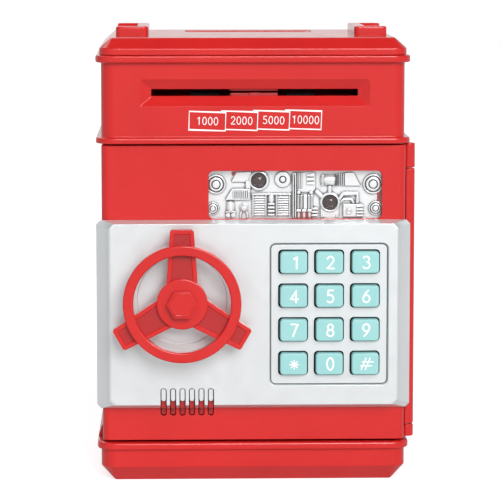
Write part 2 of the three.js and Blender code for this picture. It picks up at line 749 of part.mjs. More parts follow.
function reliefPlate() {
  const face = -46.6;
  const pieces = [box(-21, 56, face, -45.2, 108.6, 133)];
  // Raised machinery: drums, vents, pipes and valve bodies as [x, z, halfX, halfZ, height].
  const blocks = [
    [-10.4, 119.5, 5, 2.6, 1.6],
    [2.9, 116.2, 2.4, 4.4, 1.4],
    [12.3, 116.2, 2.4, 4.4, 1.4],
    [7.6, 116.4, 1.4, 4.6, 2.2],
    [17.1, 120.6, 0.9, 9.6, 2],
    [24, 127, 2.2, 1.6, 1.2],
    [34.5, 127, 3, 2.7, 2],
    [41.4, 127, 3.6, 2.8, 1.2],
    [22, 119, 3, 3.6, 1.8],
    [42.6, 113.9, 4.2, 2.8, 1.4],
    [40, 120.6, 5, 1.1, 2],
    [-8.9, 126.6, 1.8, 2.8, 1.8],
  ];
  for (const [x, z, halfX, halfZ, height] of blocks) {
    pieces.push(box(x - halfX, x + halfX, face - height, face + 0.5, z - halfZ, z + halfZ));
  }
  const knobs = [
    [-15.4, 124.9, 4, 2.2],
    [-16.6, 115.1, 2.6, 1.8],
    [50, 124.9, 4.1, 2.2],
    [51, 115.1, 2.9, 1.8],
    [12.4, 127.2, 3.4, 1.6],
    [-3.9, 115.8, 2.1, 2],
  ];
  for (const [x, z, radius, height] of knobs) {
    pieces.push(rodY(radius, face - height, face + 0.5, x, z, 16));
  }
  for (const spot of LAMPS) {
    pieces.push(rodY(4.1, face - 1.4, face + 0.5, spot.x, spot.z, 20));
  }
  return cut(join(...pieces), ...LAMPS.map((spot) => rodY(3, -60, -40, spot.x, spot.z, 16)));
}

const LAMPS = [{ name: 'led_left', x: 2.3, z: 126.4 }, { name: 'led_right', x: 32, z: 117.2 }];

function lamp({ x, z }) {
  const radius = 2.7;
  const profile = [[0, -43], [radius, -43], [radius, -48.3]];
  for (let step = 1; step <= 5; step += 1) {
    const angle = (step / 5) * (Math.PI / 2);
    profile.push([step === 5 ? 0 : radius * Math.cos(angle), -48.3 - 1.4 * Math.sin(angle)]);
  }
  return turned(profile, x, z, 18);
}

function windowPane() {
  return frontLoft(...[50.1, 50.9].map((depth) => ring(
    (WINDOW.right - WINDOW.left) / 2 - 0.3,
    (WINDOW.high - WINDOW.low) / 2 - 0.3,
    1.7,
    depth,
    (WINDOW.right + WINDOW.left) / 2,
    (WINDOW.high + WINDOW.low) / 2,
  )));
}

function keypadMat() {
  return box(KEYPAD.x - 22.9, KEYPAD.x + 22.9, -51.4, -49.9, KEYPAD.z - 28, KEYPAD.z + 28);
}

function circuitBoard() {
  const board = box(KEYPAD.x - 22.6, KEYPAD.x + 22.6, -49.6, -48, KEYPAD.z - 27.6, KEYPAD.z + 27.6);
  const chip = box(KEYPAD.x - 5, KEYPAD.x + 5, -48.1, -46, KEYPAD.z - 4, KEYPAD.z + 4);
  const socket = box(KEYPAD.x - 16, KEYPAD.x - 8, -48.1, -43, KEYPAD.z + 16, KEYPAD.z + 21);
  return join(board, chip, socket);
}

function speaker() {
  const x = SPEAKER.firstX + ((SPEAKER.count - 1) * SPEAKER.pitch) / 2;
  const profile = [
    [0, -45.4], [3, -46.2], [11, -47.4], [11, -48.5], [13, -48.5], [13, -46.5],
    [8, -43.6], [8, -39.5], [0, -39.5],
  ];
  return turned(profile, x, 36, 24);
}

// ---------------------------------------------------------------- hinge
function barrelBand(z0, z1) {
  return rodZ(HINGE.barrel, z0, z1, HINGE.x, HINGE.y, 24);
}

function pinHole() {
  return rodZ(HINGE.pin + 0.3, 0, 160, HINGE.x, HINGE.y, 16);
}

// The door's long middle knuckle, on a strip fixed to the door's right edge.
function hingeLeaf() {
  const strip = box(DOOR_RIGHT + GAP, DOOR_RIGHT + 1.5, -46.6, HINGE.y, 23, 131);
  return cut(join(barrelBand(23, 131), strip), pinHole());
}

// The case's two end knuckles, on one strip lying along the right wall.
function hingeBracket() {
  const spans = [[17.6, 22.7], [131.3, 141.6]];
  const [inner, outer] = [HALF_WIDTH + GAP, HALF_WIDTH + 1.8];
  const strip = box(inner, outer, -38.2, -27, spans[0][0], spans[1][1]);
  const knuckles = spans.map(([low, high]) => {
    const arm = box(inner, outer, HINGE.y, -37, low, high);
    return join(barrelBand(low, high), arm);
  });
  return cut(join(strip, ...knuckles), pinHole());
}

function hingePin() {
  return rodZ(HINGE.pin, 18, 141.2, HINGE.x, HINGE.y, 16);
}

// ---------------------------------------------------------------- hand wheel and lock
function spokeShape(hubHalf, tipHalf, from, to, angle) {
  const turn = new THREE.Vector2(WHEEL.x, WHEEL.z);
  const corners = [[hubHalf, from], [tipHalf, to - 1.2], [tipHalf - 1.2, to], [1.2 - tipHalf, to],
    [-tipHalf, to - 1.2], [-hubHalf, from]];
  return new THREE.Shape(corners.map(([side, out]) => new THREE.Vector2(-side, out)
    .rotateAround(new THREE.Vector2(0, 0), angle).add(turn)));
}

function handWheel() {
  const { x, z, ringOuter, ringInner, tip, hub } = WHEEL;
  const rim = turned([
    [ringInner, -67.4], [ringInner + 0.8, -66.2], [ringOuter - 0.8, -66.2], [ringOuter, -67.4],
    [ringOuter, -69.8], [ringOuter - 1, -71], [ringInner + 1, -71], [ringInner, -69.8], [ringInner, -67.4],
  ], x, z, 48);
  const disc = turned([[0, -63], [hub - 0.6, -63], [hub, -63.6], [hub, -69], [hub - 0.8, -69.8], [0, -69.8]], x, z);
  const boss = rodY(7, -63.2, -58.4, x, z, 32);
  let wheel = join(rim, disc, boss);
  for (let spoke = 0; spoke < 3; spoke += 1) {
    const angle = (spoke * 2 * Math.PI) / 3;
    wheel = join(wheel, frontPrism(spokeShape(6.4, 4.9, 8, tip, angle), -68.4, -64));
    wheel = cut(wheel, frontPrism(spokeShape(4.6, 4.3, 11.6, 19.4, angle), -72, -67.6));
    wheel = cut(wheel, frontPrism(spokeShape(3.9, 3.6, 25, 29.2, angle), -72, -67.6));
  }
  return cut(wheel, rodY(3.3, -66.8, -50, x, z, 24));
}

function hubCap() {
  const cap = facing(loftGeometry([
    polygonRing(6.45, 6, 70.1),
    polygonRing(6.45, 6, 72.6),
    polygonRing(5.7, 6, 73.3),
  ]));
  return solid(cap.translate(WHEEL.x, 0, WHEEL.z));
}

// The shaft ends in the pinion that moves the bolt's rack.
function wheelShaft() {
  const teeth = PINION_TEETH;
  const gear = gearX(teeth, BOLT.front, BOLT.back, 0, 0, 0.5);
  const turn = new THREE.Matrix4().makeBasis(
    new THREE.Vector3(0, 1, 0),
    new THREE.Vector3(0, 0, -1),
    new THREE.Vector3(-1, 0, 0),
  );
  const pinion = solid(surface(gear).applyMatrix4(turn).translate(WHEEL.x, 0, WHEEL.z));
  return join(rodY(2.9, -66.4, BOLT.back - 0.4, WHEEL.x, WHEEL.z, 24), pinion);
}

// At rest the bolt is drawn back. Its rack meshes with the pinion from above.
function latchBolt() {
  const pitchLine = WHEEL.z + (TOOTH * PINION_TEETH) / 2 + 0.1;
  const bar = box(BOLT.left, BOLT.right, BOLT.front, BOLT.back, BOLT.low, BOLT.high);
  const pitch = Math.PI * TOOTH;
  const teeth = [];
  for (let tooth = -2; tooth <= 5; tooth += 1) {
    const x = WHEEL.x + tooth * pitch;
    teeth.push(frontPrism(polygon([
      [x - 0.29 * pitch, BOLT.low + 0.2],
      [x - 0.11 * pitch, pitchLine - 0.8 * TOOTH],
      [x + 0.11 * pitch, pitchLine - 0.8 * TOOTH],
      [x + 0.29 * pitch, BOLT.low + 0.2],
    ]), BOLT.front, BOLT.back));
  }
  const notchStart = PLUNGER.x - PLUNGER.radius;
  const notchEnd = PLUNGER.x + PLUNGER.radius + BOLT.travel + 0.3;
  const notch = frontPrism(polygon([
    [notchStart - 2, BOLT.high + 1],
    [notchEnd, BOLT.high + 1],
    [notchEnd, BOLT.high - (notchEnd - notchStart) / 2],
  ]), -40, -30);
  const lead = frontPrism(polygon([
    [BOLT.left - 1, BOLT.low - 1],
    [BOLT.left + 2, BOLT.low - 1],
    [BOLT.left - 1, BOLT.low + 2],
  ]), -40, -30);
  return cut(join(bar, ...teeth), notch, lead);
}

function strikePlate() {
  const plate = box(-60.2, -57.2, -36.6, -35.8, 76, 96);
  return cut(plate, rodY(1, -40, -30, -58.7, 78.5, 12), rodY(1, -40, -30, -58.7, 93.5, 12));
}

const COIL = { low: 96, high: 114, half: 6.5 };

function lockSolenoid() {
  const { low, high, half } = COIL;
  const y = (BOLT.front + BOLT.back) / 2;
  const frame = box(PLUNGER.x - half - 1.5, PLUNGER.x + half + 1.5, y - 3.6, y + 1.7, low - 1, high + 1);
  const opening = box(PLUNGER.x - half, PLUNGER.x + half, y - 5, y + 5, low, high);
  const coil = rodZ(half - 0.6, low - 0.5, high + 0.5, PLUNGER.x, y - 1.2, 28);
  const trimmed = coil.intersect(box(-80, 0, y - 6, y + 1.7, 80, 130));
  return cut(join(cut(frame, opening), trimmed), rodZ(PLUNGER.radius + 0.3, 80, 111, PLUNGER.x, y - 1.2, 20));
}

function lockPlunger() {
  const y = (BOLT.front + BOLT.back) / 2 - 1.2;
  return rodZ(PLUNGER.radius, BOLT.high + GAP, 110, PLUNGER.x, y, 20);
}

// ---------------------------------------------------------------- keys
const KEY_ROWS = [['1', '2', '3'], ['4', '5', '6'], ['7', '8', '9'], ['star', '0', 'hash']];
const KEYS = KEY_ROWS.flatMap((labels, row) => labels.map((label, column) => ({
  label,
  x: KEYPAD.x + (column - 1) * KEY.pitchX,
  z: KEYPAD.z + 0.7 + (1.5 - row) * KEY.pitchZ,
})));

function keyHole({ x, z }) {
  return frontLoft(...[50, 60].map((depth) => ring(
    KEY.halfX + KEY.hole,
    KEY.halfZ + KEY.hole,
    1.6,
    depth,
    x,
    z,
  )));
}

function keyCap({ x, z }) {
  const { halfX, halfZ } = KEY;
  return frontLoft(
    ring(halfX + 1.15, halfZ + 1, 1, 52.9, x, z),
    ring(halfX + 1.15, halfZ + 1, 1, 53.9, x, z),
    ring(halfX, halfZ, 1.4, 53.9, x, z),
    ring(halfX, halfZ, 1.4, 57.3, x, z),
    ring(halfX - 0.3, halfZ - 0.3, 1.2, 57.8, x, z),
    ring(halfX - 0.9, halfZ - 0.9, 0.9, 58, x, z),
  );
}

// ---------------------------------------------------------------- fasteners
function caseScrew([x, y]) {
  return screw(3, 1, 1.2, 8).rotateX(Math.PI / 2).translate(x, y, 1.5);
}

// ---------------------------------------------------------------- assembly
const bank = new THREE.Group();

function addPart(name, shape, colour) {
  const geometry = shape.isBufferGeometry ? shape : surface(shape);
  geometry.computeVertexNormals();
  const mesh = new THREE.Mesh(geometry, new THREE.MeshStandardMaterial(COLOURS[colour]));
  mesh.name = name;
  bank.add(mesh);
}

addPart('base_tray', baseTray(), 'red');
addPart('case_shell', caseShell(), 'red');
addPart('head_shell', headShell(), 'red');
addPart('top_lid', topLid(), 'red');
addPart('mechanism_deck', mechanismDeck(), 'black');
addPart('coin_chute', coinChute(), 'black');
addPart('lower_note_guide', lowerNoteGuide(), 'red');
addPart('upper_note_guide', upperNoteGuide(), 'red');
addPart('feed_motor', feedMotor(), 'steel');
addPart('battery_box', batteryBox(), 'black');
addPart('left_contacts', batteryContacts(-1), 'steel');
addPart('right_contacts', batteryContacts(1), 'steel');
for (let row = 0; row < 3; row += 1) {
  addPart(`battery_cell_${row + 1}`, batteryCell(row), 'cell');
}
addPart('strike_plate', strikePlate(), 'steel');
addPart('hinge_bracket', hingeBracket(), 'red');
addPart('hinge_pin', hingePin(), 'steel');
SCREW_SPOTS.forEach((spot, index) => addPart(`case_screw_${index + 1}`, caseScrew(spot), 'steel'));

addPart('feed_shaft', feedShaft(), 'steel');
addPart('feed_rollers', rollerPair(FEED, 1.8), 'rubber');
addPart('feed_gear', feedGear(), 'white');
addPart('pinch_shaft', pinchShaft(), 'steel');
addPart('pinch_rollers', rollerPair(PINCH, 1.55), 'rubber');
addPart('idler_gear', idlerGear(), 'white');
addPart('motor_pinion', motorPinion(), 'white');

addPart('battery_cover', batteryCover(), 'red');
addPart('cover_screw', coverScrew(), 'steel');

addPart('door_panel', doorPanel(), 'red');
addPart('door_back_cover', doorBackCover(), 'red');
addPart('silver_fascia', silverFascia(), 'silver');
addPart('relief_plate', reliefPlate(), 'relief');
addPart('window_pane', windowPane(), 'clear');
for (const spot of LAMPS) {
  addPart(spot.name, lamp(spot), 'lens');
}
addPart('keypad_mat', keypadMat(), 'rubber');
addPart('circuit_board', circuitBoard(), 'board');
addPart('speaker', speaker(), 'black');
addPart('hinge_leaf', hingeLeaf(), 'red');
addPart('lock_solenoid', lockSolenoid(), 'steel');

addPart('hand_wheel', handWheel(), 'red');
addPart('hub_cap', hubCap(), 'red');
addPart('wheel_shaft', wheelShaft(), 'white');
addPart('latch_bolt', latchBolt(), 'white');
addPart('lock_plunger', lockPlunger(), 'steel');

for (const key of KEYS) {
  addPart(`key_${key.label}`, keyCap(key), 'mint');
}

export default bank;
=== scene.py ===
import math

import bmesh
import bpy
from mathutils import Matrix, Vector


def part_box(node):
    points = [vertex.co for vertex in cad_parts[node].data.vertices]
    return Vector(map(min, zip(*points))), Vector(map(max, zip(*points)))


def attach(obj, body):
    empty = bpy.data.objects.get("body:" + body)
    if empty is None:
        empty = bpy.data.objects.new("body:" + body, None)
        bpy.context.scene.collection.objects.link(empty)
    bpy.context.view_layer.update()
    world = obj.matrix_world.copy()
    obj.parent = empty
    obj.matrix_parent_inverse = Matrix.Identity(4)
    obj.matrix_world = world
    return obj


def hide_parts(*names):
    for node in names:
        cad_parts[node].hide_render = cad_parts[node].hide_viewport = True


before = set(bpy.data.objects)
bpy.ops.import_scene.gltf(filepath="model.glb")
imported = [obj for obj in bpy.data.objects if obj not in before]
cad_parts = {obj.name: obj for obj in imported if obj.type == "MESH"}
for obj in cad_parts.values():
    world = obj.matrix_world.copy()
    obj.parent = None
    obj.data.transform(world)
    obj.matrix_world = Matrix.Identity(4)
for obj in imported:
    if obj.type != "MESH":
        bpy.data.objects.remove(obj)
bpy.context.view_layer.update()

# The visible pieces of a toy safe coin bank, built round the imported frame.
# Shapes are given in millimetres and scaled when a mesh is made.
MM = 0.001
RED = "red_plastic"
Y_AXIS = Vector((0, 1, 0))


def box(node):
    low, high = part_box(node)
    return low / MM, high / MM


def middle(node):
    low, high = box(node)
    return (low + high) / 2


# ---- driving dimensions, from the frame
WALL_LOW, WALL_HIGH = box("case_shell")
HEAD_LOW, HEAD_HIGH = box("head_shell")
LID_LOW, LID_HIGH = box("top_lid")
DOOR_LOW, DOOR_HIGH = box("door_panel")
PLATE_LOW, PLATE_HIGH = box("silver_fascia")
PANE_LOW, PANE_HIGH = box("window_pane")
MAT_LOW, MAT_HIGH = box("keypad_mat")

HALF_X = WALL_HIGH.x
HALF_Y = WALL_HIGH.y
RIB = HEAD_HIGH.x - HALF_X
WALL = 2.5
CORNER = 5.5
GAP = 0.3
FRONT = DOOR_LOW.y
FACE = FRONT - 5
HUB = middle("hub_cap").xz


# ---- outlines
def soften(profile, closed=False, steps=4):
    """Rounds a profile of (u, v, radius) points, sharp where no radius is given, into (u, v) points."""
    count = len(profile)
    points = []
    for i, (u, v, *radii) in enumerate(profile):
        if not radii or radii[0] <= 0 or not closed and i in (0, count - 1):
            points.append((u, v))
            continue
        here = Vector((u, v))
        before = Vector(profile[i - 1][:2]) - here
        after = Vector(profile[(i + 1) % count][:2]) - here
        half = before.angle(after) / 2
        reach = min(radii[0] / math.tan(half), 0.48 * before.length, 0.48 * after.length)
        start = here + before.normalized() * reach
        end = here + after.normalized() * reach
        for step in range(steps + 1):
            t = step / steps
            spot = start.lerp(here, t).lerp(here.lerp(end, t), t)
            points.append((spot.x, spot.y))
    return points


def rounded(u0, u1, v0, v1, radius, steps=7):
    """A rectangle with round corners."""
    points = []
    for corner, (u, v) in enumerate(((u1, v1), (u0, v1), (u0, v0), (u1, v0))):
        sign_u = 1 if corner in (0, 3) else -1
        sign_v = 1 if corner < 2 else -1
        for step in range(steps + 1):
            angle = (corner + step / steps) * math.pi / 2
            points.append((
                u + radius * (math.cos(angle) - sign_u),
                v + radius * (math.sin(angle) - sign_v),
            ))
    return points


def oblong(u0, u1, v0, v1, radius, steps=7):
    """A round-cornered rectangle that can be asked for at any inset."""
    return lambda depth: rounded(
        u0 + depth, u1 - depth, v0 + depth, v1 - depth, max(radius - depth, 0.01), steps,
    )


def around(u, v, half_u, half_v, radius, steps=7):
    """An oblong given by its middle."""
    return oblong(u - half_u, u + half_u, v - half_v, v + half_v, radius, steps)


def sided(points):
    """Any other outline that can be asked for at any inset."""
    return lambda depth: inset(points, depth)


def circle(u, v, radius, steps=48, start=0):
    turns = [start + step / steps * 2 * math.pi for step in range(steps)]
    return [(u + radius * math.cos(a), v + radius * math.sin(a)) for a in turns]


def arc(u, v, radius_u, radius_v, first, last, steps=12):
    """Points on part of an ellipse, its angles in degrees."""
    points = []
    for step in range(steps + 1):
        angle = math.radians(first + (last - first) * step / steps)
        points.append((u + radius_u * math.cos(angle), v + radius_v * math.sin(angle)))
    return points


def inset(outline, distance):
    """Moves each side of a closed counter-clockwise outline inwards."""
    count = len(outline)
    moved = []
    for i in range(count):
        here = Vector(outline[i])
        first = (here - Vector(outline[i - 1])).normalized()
        second = (Vector(outline[(i + 1) % count]) - here).normalized()
        side = Vector((-first.y, first.x))
        other = Vector((-second.y, second.x))
        bisector = (side + other).normalized()
        moved.append(tuple(here + bisector * distance / max(0.35, bisector.dot(side))))
    return moved


def level(outline, z):
    return [(u, v, z) for u, v in outline]


def upright(outline, y):
    return [(u, y, v) for u, v in outline]


# ---- solids
def put(name, data):
    """Shows new data as an object in the scene."""
    made = bpy.data.objects.new(name, data)
    bpy.context.scene.collection.objects.link(made)
    return made


def solid(name, points, faces):
    mesh = bpy.data.meshes.new(name)
    mesh.from_pydata([Vector(point) * MM for point in points], [], faces)
    shape = bmesh.new()
    shape.from_mesh(mesh)
    bmesh.ops.remove_doubles(shape, verts=shape.verts, dist=1e-7)
    bmesh.ops.dissolve_degenerate(shape, edges=shape.edges, dist=1e-7)
    bmesh.ops.recalc_face_normals(shape, faces=shape.faces)
    shape.to_mesh(mesh)
    shape.free()
    return put(name, mesh)


def skin(name, rings, closed=False):
    """A closed body through outlines with equal point counts, capped unless it closes on itself."""
    count = len(rings[0])
    points = [point for ring in rings for point in ring]
    faces = []
    for i in range(len(rings) if closed else len(rings) - 1):
        low = i * count
        high = (i + 1) % len(rings) * count
        for j in range(count):
            k = (j + 1) % count
            faces.append((low + j, low + k, high + k, high + j))
    if not closed:
        faces.append(tuple(reversed(range(count))))
        faces.append(tuple(range(len(points) - count, len(points))))
    return solid(name, points, faces)


def casing(name, profile, closed=False):
    """A body swept round the case: the profile is (inset from the wall, height, radius)."""
    rings = []
    for depth, z in soften(profile, closed):
        x, y = HALF_X - depth, HALF_Y - depth
        rings.append(level(rounded(-x, x, -y, y, max(1, CORNER - depth)), z))
    return skin(name, rings, closed)


def slab(name, outline, profile, closed=False, steps=3):
    """A body facing the front: the profile is (inset of the outline, y, radius)."""
    rings = [upright(outline(u), y) for u, y in soften(profile, closed, steps)]
    return skin(name, rings, closed)


def plate(name, outline, back, front, edge=0.3):
    """A flat piece with a rounded front rim."""
    return slab(name, outline, [(0, back), (0, front, edge), (2 * edge, front)])


def sink(name, outline, floor, face, flare=0.3):
    """A cutter for a hole or recess whose rim is rounded where it meets the face."""
    return slab(name, outline, [
        (0, floor), (0, face + flare), (-0.3 * flare, face + 0.3 * flare),
        (-flare, face - 0.02), (-flare, face - 2),
    ])


def lathe(name, profile, spot, axis="Y", ring=False, steps=56, soft=4):
    """A turned body: the profile is (radius, distance along the axis, corner radius)."""
    rings = []
    for radius, along in soften(profile, ring, soft):
        outline = circle(spot[0], spot[1], radius, steps)
        rings.append([
            {"X": (along, u, v), "Y": (u, along, v), "Z": (u, v, along)}[axis] for u, v in outline
        ])
    return skin(name, rings, ring)


def rod(name, radius, start, end, spot, axis="Y"):
    """A plain cylinder, to cut a bore with."""
    return lathe(name, [(0, start), (radius, start), (radius, end), (0, end)], spot, axis)


def brick(name, low, high, edge=0.3):
    """A box between two opposite corners, with every edge rounded."""
    (x0, x1), (y0, y1), (z0, z1) = (sorted(pair) for pair in zip(low, high))
    outline = oblong(x0, x1, y0, y1, 1.3 * edge, 3)
    profile = [(2 * edge, z0), (0, z0, edge), (0, z1, edge), (2 * edge, z1)]
    return skin(name, [level(outline(u), z) for u, z in soften(profile, False, 2)])


def strand(name, path, radius, flat=1.0, loop=False, sides=8):
    """A round-ended strand along a path in mm; flat below 1 squeezes its depth."""
    spots = [Vector(point) for point in path]
    count = len(spots)
    frames = []
    for i, spot in enumerate(spots):
        before = spots[i - 1] if loop or i > 0 else spot
        after = spots[(i + 1) % count] if loop or i < count - 1 else spot
        along = (after - before).normalized()
        side = along.cross(Y_AXIS if abs(along.y) < 0.9 else Vector((1, 0, 0))).normalized()
        turn = (spot - before).normalized() if spot != before else along
        stretch = 1 / max(0.6, along.dot(turn))
        frames.append((spot, along, side * stretch, side.cross(along)))
    rings = []
    ends = [] if loop else [math.pi / 2 * step / 3 for step in range(3)]
    spot, along, side, up = frames[0]
    for angle in ends:
        rings.append((spot - along * radius * math.cos(angle), side, up, math.sin(angle)))
    rings.extend((spot, side, up, 1.0) for spot, along, side, up in frames)
    spot, along, side, up = frames[-1]
    for angle in reversed(ends):
        rings.append((spot + along * radius * math.cos(angle), side, up, math.sin(angle)))
    outlines = []
    for spot, side, up, share in rings:
        size = radius * share
        outlines.append([
            spot + side * u * size + up * v * size * flat for u, v in circle(0, 0, 1, sides)
        ])
    return skin(name, outlines, loop)


def remove(*objects):
    for each in objects:
        mesh = each.data
        bpy.data.objects.remove(each)
        bpy.data.meshes.remove(mesh)


def boolean(whole, tools, operation):
    for tool in tools:
        step = whole.modifiers.new("step", "BOOLEAN")
        step.object = tool
        step.operation = operation
        step.solver = "EXACT"
    graph = bpy.context.evaluated_depsgraph_get()
    mesh = bpy.data.meshes.new_from_object(whole.evaluated_get(graph))
    whole.modifiers.clear()
    old = whole.data
    whole.data = mesh
    bpy.data.meshes.remove(old)
    remove(*tools)
    return whole


def cut(whole, *tools):
    return boolean(whole, tools, "DIFFERENCE")


def join(whole, *tools):
    return boolean(whole, tools, "UNION")


def gather(name, pieces):
    """One object that holds several closed bodies."""
    shape = bmesh.new()
    for piece in pieces:
        shape.from_mesh(piece.data)
    mesh = bpy.data.meshes.new(name)
    shape.to_mesh(mesh)
    shape.free()
    remove(*pieces)
    return put(name, mesh)


def round_edges(piece, width, angle):
    bevel = piece.modifiers.new("rounded_edges", "BEVEL")
    bevel.width = width * MM
    bevel.segments = 2
    bevel.limit_method = "ANGLE"
    bevel.angle_limit = math.radians(angle)
    return bevel


def smooth(piece, edge, angle):
    mesh = piece.data
    mesh.polygons.foreach_set("use_smooth", [True] * len(mesh.polygons))
    mesh.set_sharp_from_angle(angle=math.radians(angle))
    if edge:
        round_edges(piece, edge, angle).miter_outer = "MITER_ARC"
    piece.modifiers.new("even_shading", "WEIGHTED_NORMAL").keep_sharp = True


def place(piece, body, slot, *nodes, edge=0, angle=35, look=None):
    """Finishes a piece: smooth faces, its material, the body that it rides on and the nodes it stands for."""
    smooth(piece, edge, angle)
    piece.data.materials.clear()
    piece.data.materials.append(look or LOOKS[slot])
    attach(piece, body)
    if nodes:
        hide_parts(*nodes)
    return piece


# ---- materials
class Graph:
    """Short names for building one material's nodes."""

    def __init__(self, name):
        self.material = bpy.data.materials.new(name)
        self.material.use_nodes = True
        self.tree = self.material.node_tree
        self.shader = self.tree.nodes["Principled BSDF"]
        self.space = self.add("ShaderNodeTexCoord").outputs["Object"]

    def add(self, kind, **settings):
        node = self.tree.nodes.new(kind)
        for key, value in settings.items():
            setattr(node, key, value)
        return node

    def link(self, output, socket):
        self.tree.links.new(output, socket)

    def feed(self, name, output):
        self.link(output, self.shader.inputs[name])

    def set(self, **values):
        for key, value in values.items():
            self.shader.inputs[key.replace("_", " ")].default_value = value

    def noise(self, scale, detail=3, stretch=None):
        node = self.add("ShaderNodeTexNoise")
        node.inputs["Scale"].default_value = scale
        node.inputs["Detail"].default_value = detail
        source = self.space
        if stretch:
            mapping = self.add("ShaderNodeMapping")
            mapping.inputs["Scale"].default_value = stretch
            self.link(source, mapping.inputs["Vector"])
            source = mapping.outputs["Vector"]
        self.link(source, node.inputs["Vector"])
        return node.outputs["Fac"]

    def spread(self, value, low, high, to_low, to_high):
        node = self.add("ShaderNodeMapRange")
        for socket, number in zip(node.inputs[1:5], (low, high, to_low, to_high)):
            socket.default_value = number
        self.link(value, node.inputs["Value"])
        return node.outputs["Result"]

    def blend(self, share, first, second):
        """Mixes two colours; each is a colour or the output of another node."""
        node = self.add("ShaderNodeMix", data_type="RGBA")
        for socket, colour in ((node.inputs[6], first), (node.inputs[7], second)):
            if isinstance(colour, tuple):
                socket.default_value = (*colour, 1)
            else:
                self.link(colour, socket)
        self.link(share, node.inputs["Factor"])
        return node.outputs[2]

    def worn_and_highlit_edges(self, amount, reach=0.0003):
        """Where a rounded normal leaves the face normal there is an edge; it is rubbed in patches. The
        lighter colour that callers put there is partly wear and partly a painted highlight.
        """
        rounding = self.add("ShaderNodeBevel", samples=4)
        rounding.inputs["Radius"].default_value = reach
        facing = self.add("ShaderNodeVectorMath", operation="DOT_PRODUCT")
        self.link(rounding.outputs["Normal"], facing.inputs[0])
        self.link(self.add("ShaderNodeNewGeometry").outputs["Normal"], facing.inputs[1])
        edges = self.spread(facing.outputs["Value"], 0.97, 0.75, 0, amount)
        patches = self.spread(self.noise(260, 4), 0.35, 0.65, 0.4, 1)
        node = self.add("ShaderNodeMath", operation="MULTIPLY")
        self.link(edges, node.inputs[0])
        self.link(patches, node.inputs[1])
        return node.outputs[0]

    def roughness(self, base, change, scale=180):
        smudges = self.noise(scale, 5)
        self.feed("Roughness", self.spread(smudges, 0.3, 0.7, base - change, base + change))

    def bumps(self, height, strength, distance, round_edge=0):
        node = self.add("ShaderNodeBump")
        node.inputs["Strength"].default_value = strength
        node.inputs["Distance"].default_value = distance
        self.link(height, node.inputs["Height"])
        if round_edge:
            soft = self.add("ShaderNodeBevel", samples=4)
            soft.inputs["Radius"].default_value = round_edge
            self.link(soft.outputs["Normal"], node.inputs["Normal"])
        self.feed("Normal", node.outputs["Normal"])


def moulded(name, colour, shade, rubbed_and_highlit_colour, rough, rubbed_and_highlit_share=0.25, round_edge=0.00018, **sockets):
    """Injection-moulded plastic: slight colour drift, fine surface grain, smudges, and rubbed edges whose
    lighter colour is partly a painted highlight.
    """
    graph = Graph(name)
    drift = graph.spread(graph.noise(38, 4), 0.35, 0.65, 0, 1)
    body = graph.blend(drift, colour, shade)
    # lighter edge colour: partly wear, partly painted highlight
    graph.feed("Base Color", graph.blend(graph.worn_and_highlit_edges(rubbed_and_highlit_share), body, rubbed_and_highlit_colour))
    graph.roughness(rough, 0.04)
    graph.bumps(graph.noise(1500, 4), 0.025, 0.00004, round_edge)
    graph.set(**sockets)
    return graph.material


def silver_paint(name, colour, shade, rough):
    """Satin silver lacquer with fine flakes."""
    graph = Graph(name)
    flakes = graph.add("ShaderNodeTexVoronoi")
    flakes.inputs["Scale"].default_value = 5200
    graph.link(graph.space, flakes.inputs["Vector"])
    glint = graph.spread(flakes.outputs["Distance"], 0.1, 0.9, 0, 0.3)
    body = graph.blend(glint, colour, shade)
    drift = graph.spread(graph.noise(55, 4), 0.3, 0.7, 0, 0.3)
    body = graph.blend(drift, body, shade)
    graph.feed("Base Color", graph.blend(graph.worn_and_highlit_edges(0.5), body, (0.86, 0.87, 0.88)))
    graph.roughness(rough, 0.04)
    graph.bumps(graph.noise(2400, 3), 0.012, 0.00003, 0.0002)
    graph.set(Metallic=0.6)
    return graph.material


def relief_paint():
    """Silver paint on a relief, with painted shade darkening its recesses and painted highlights on its
    edges.
    """
    graph = Graph("relief_silver_paint")
    # painted shade: occlusion by the nearby relief darkens every recess towards near black
    hollow = graph.add("ShaderNodeAmbientOcclusion", samples=6)
    hollow.inputs["Distance"].default_value = 0.0013
    painted_recess_shade = graph.spread(hollow.outputs["AO"], 0.5, 0.86, 1, 0)
    body = graph.blend(graph.noise(240, 4), (0.9, 0.92, 0.93), (0.82, 0.84, 0.85))
    # painted highlight: the relief's edges are lightened to near white
    body = graph.blend(graph.worn_and_highlit_edges(0.9, 0.0002), body, (0.98, 0.98, 0.98))
    graph.feed("Base Color", graph.blend(painted_recess_shade, body, (0.03, 0.027, 0.028)))
    graph.roughness(0.2, 0.04)
    graph.bumps(graph.noise(3000, 3), 0.1, 0.00003, 0.00015)
    graph.set(Metallic=0.45)
    return graph.material


def brushed(name, colour, shade, rough, stretch):
    """Plated metal with fine drawn lines along one axis."""
    graph = Graph(name)
    lines = graph.noise(900, 4, stretch)
    graph.feed("Base Color", graph.blend(lines, colour, shade))
    graph.feed("Roughness", graph.spread(lines, 0.3, 0.7, rough - 0.07, rough + 0.09))
    graph.bumps(lines, 0.15, 0.00004, 0.00015)
    graph.set(Metallic=1)
    return graph.material


def clear_sheet():
    graph = Graph("clear_window_sheet")
    haze = graph.spread(graph.noise(120, 5), 0.3, 0.7, 0.03, 0.09)
    graph.feed("Roughness", haze)
    tint = graph.blend(graph.noise(40, 2), (0.93, 0.95, 0.96), (0.98, 0.98, 0.98))
    graph.feed("Base Color", tint)
    graph.bumps(graph.noise(60, 2), 0.05, 0.00005)
    graph.set(Alpha=0.03, Specular_IOR_Level=0.12)
    return graph.material


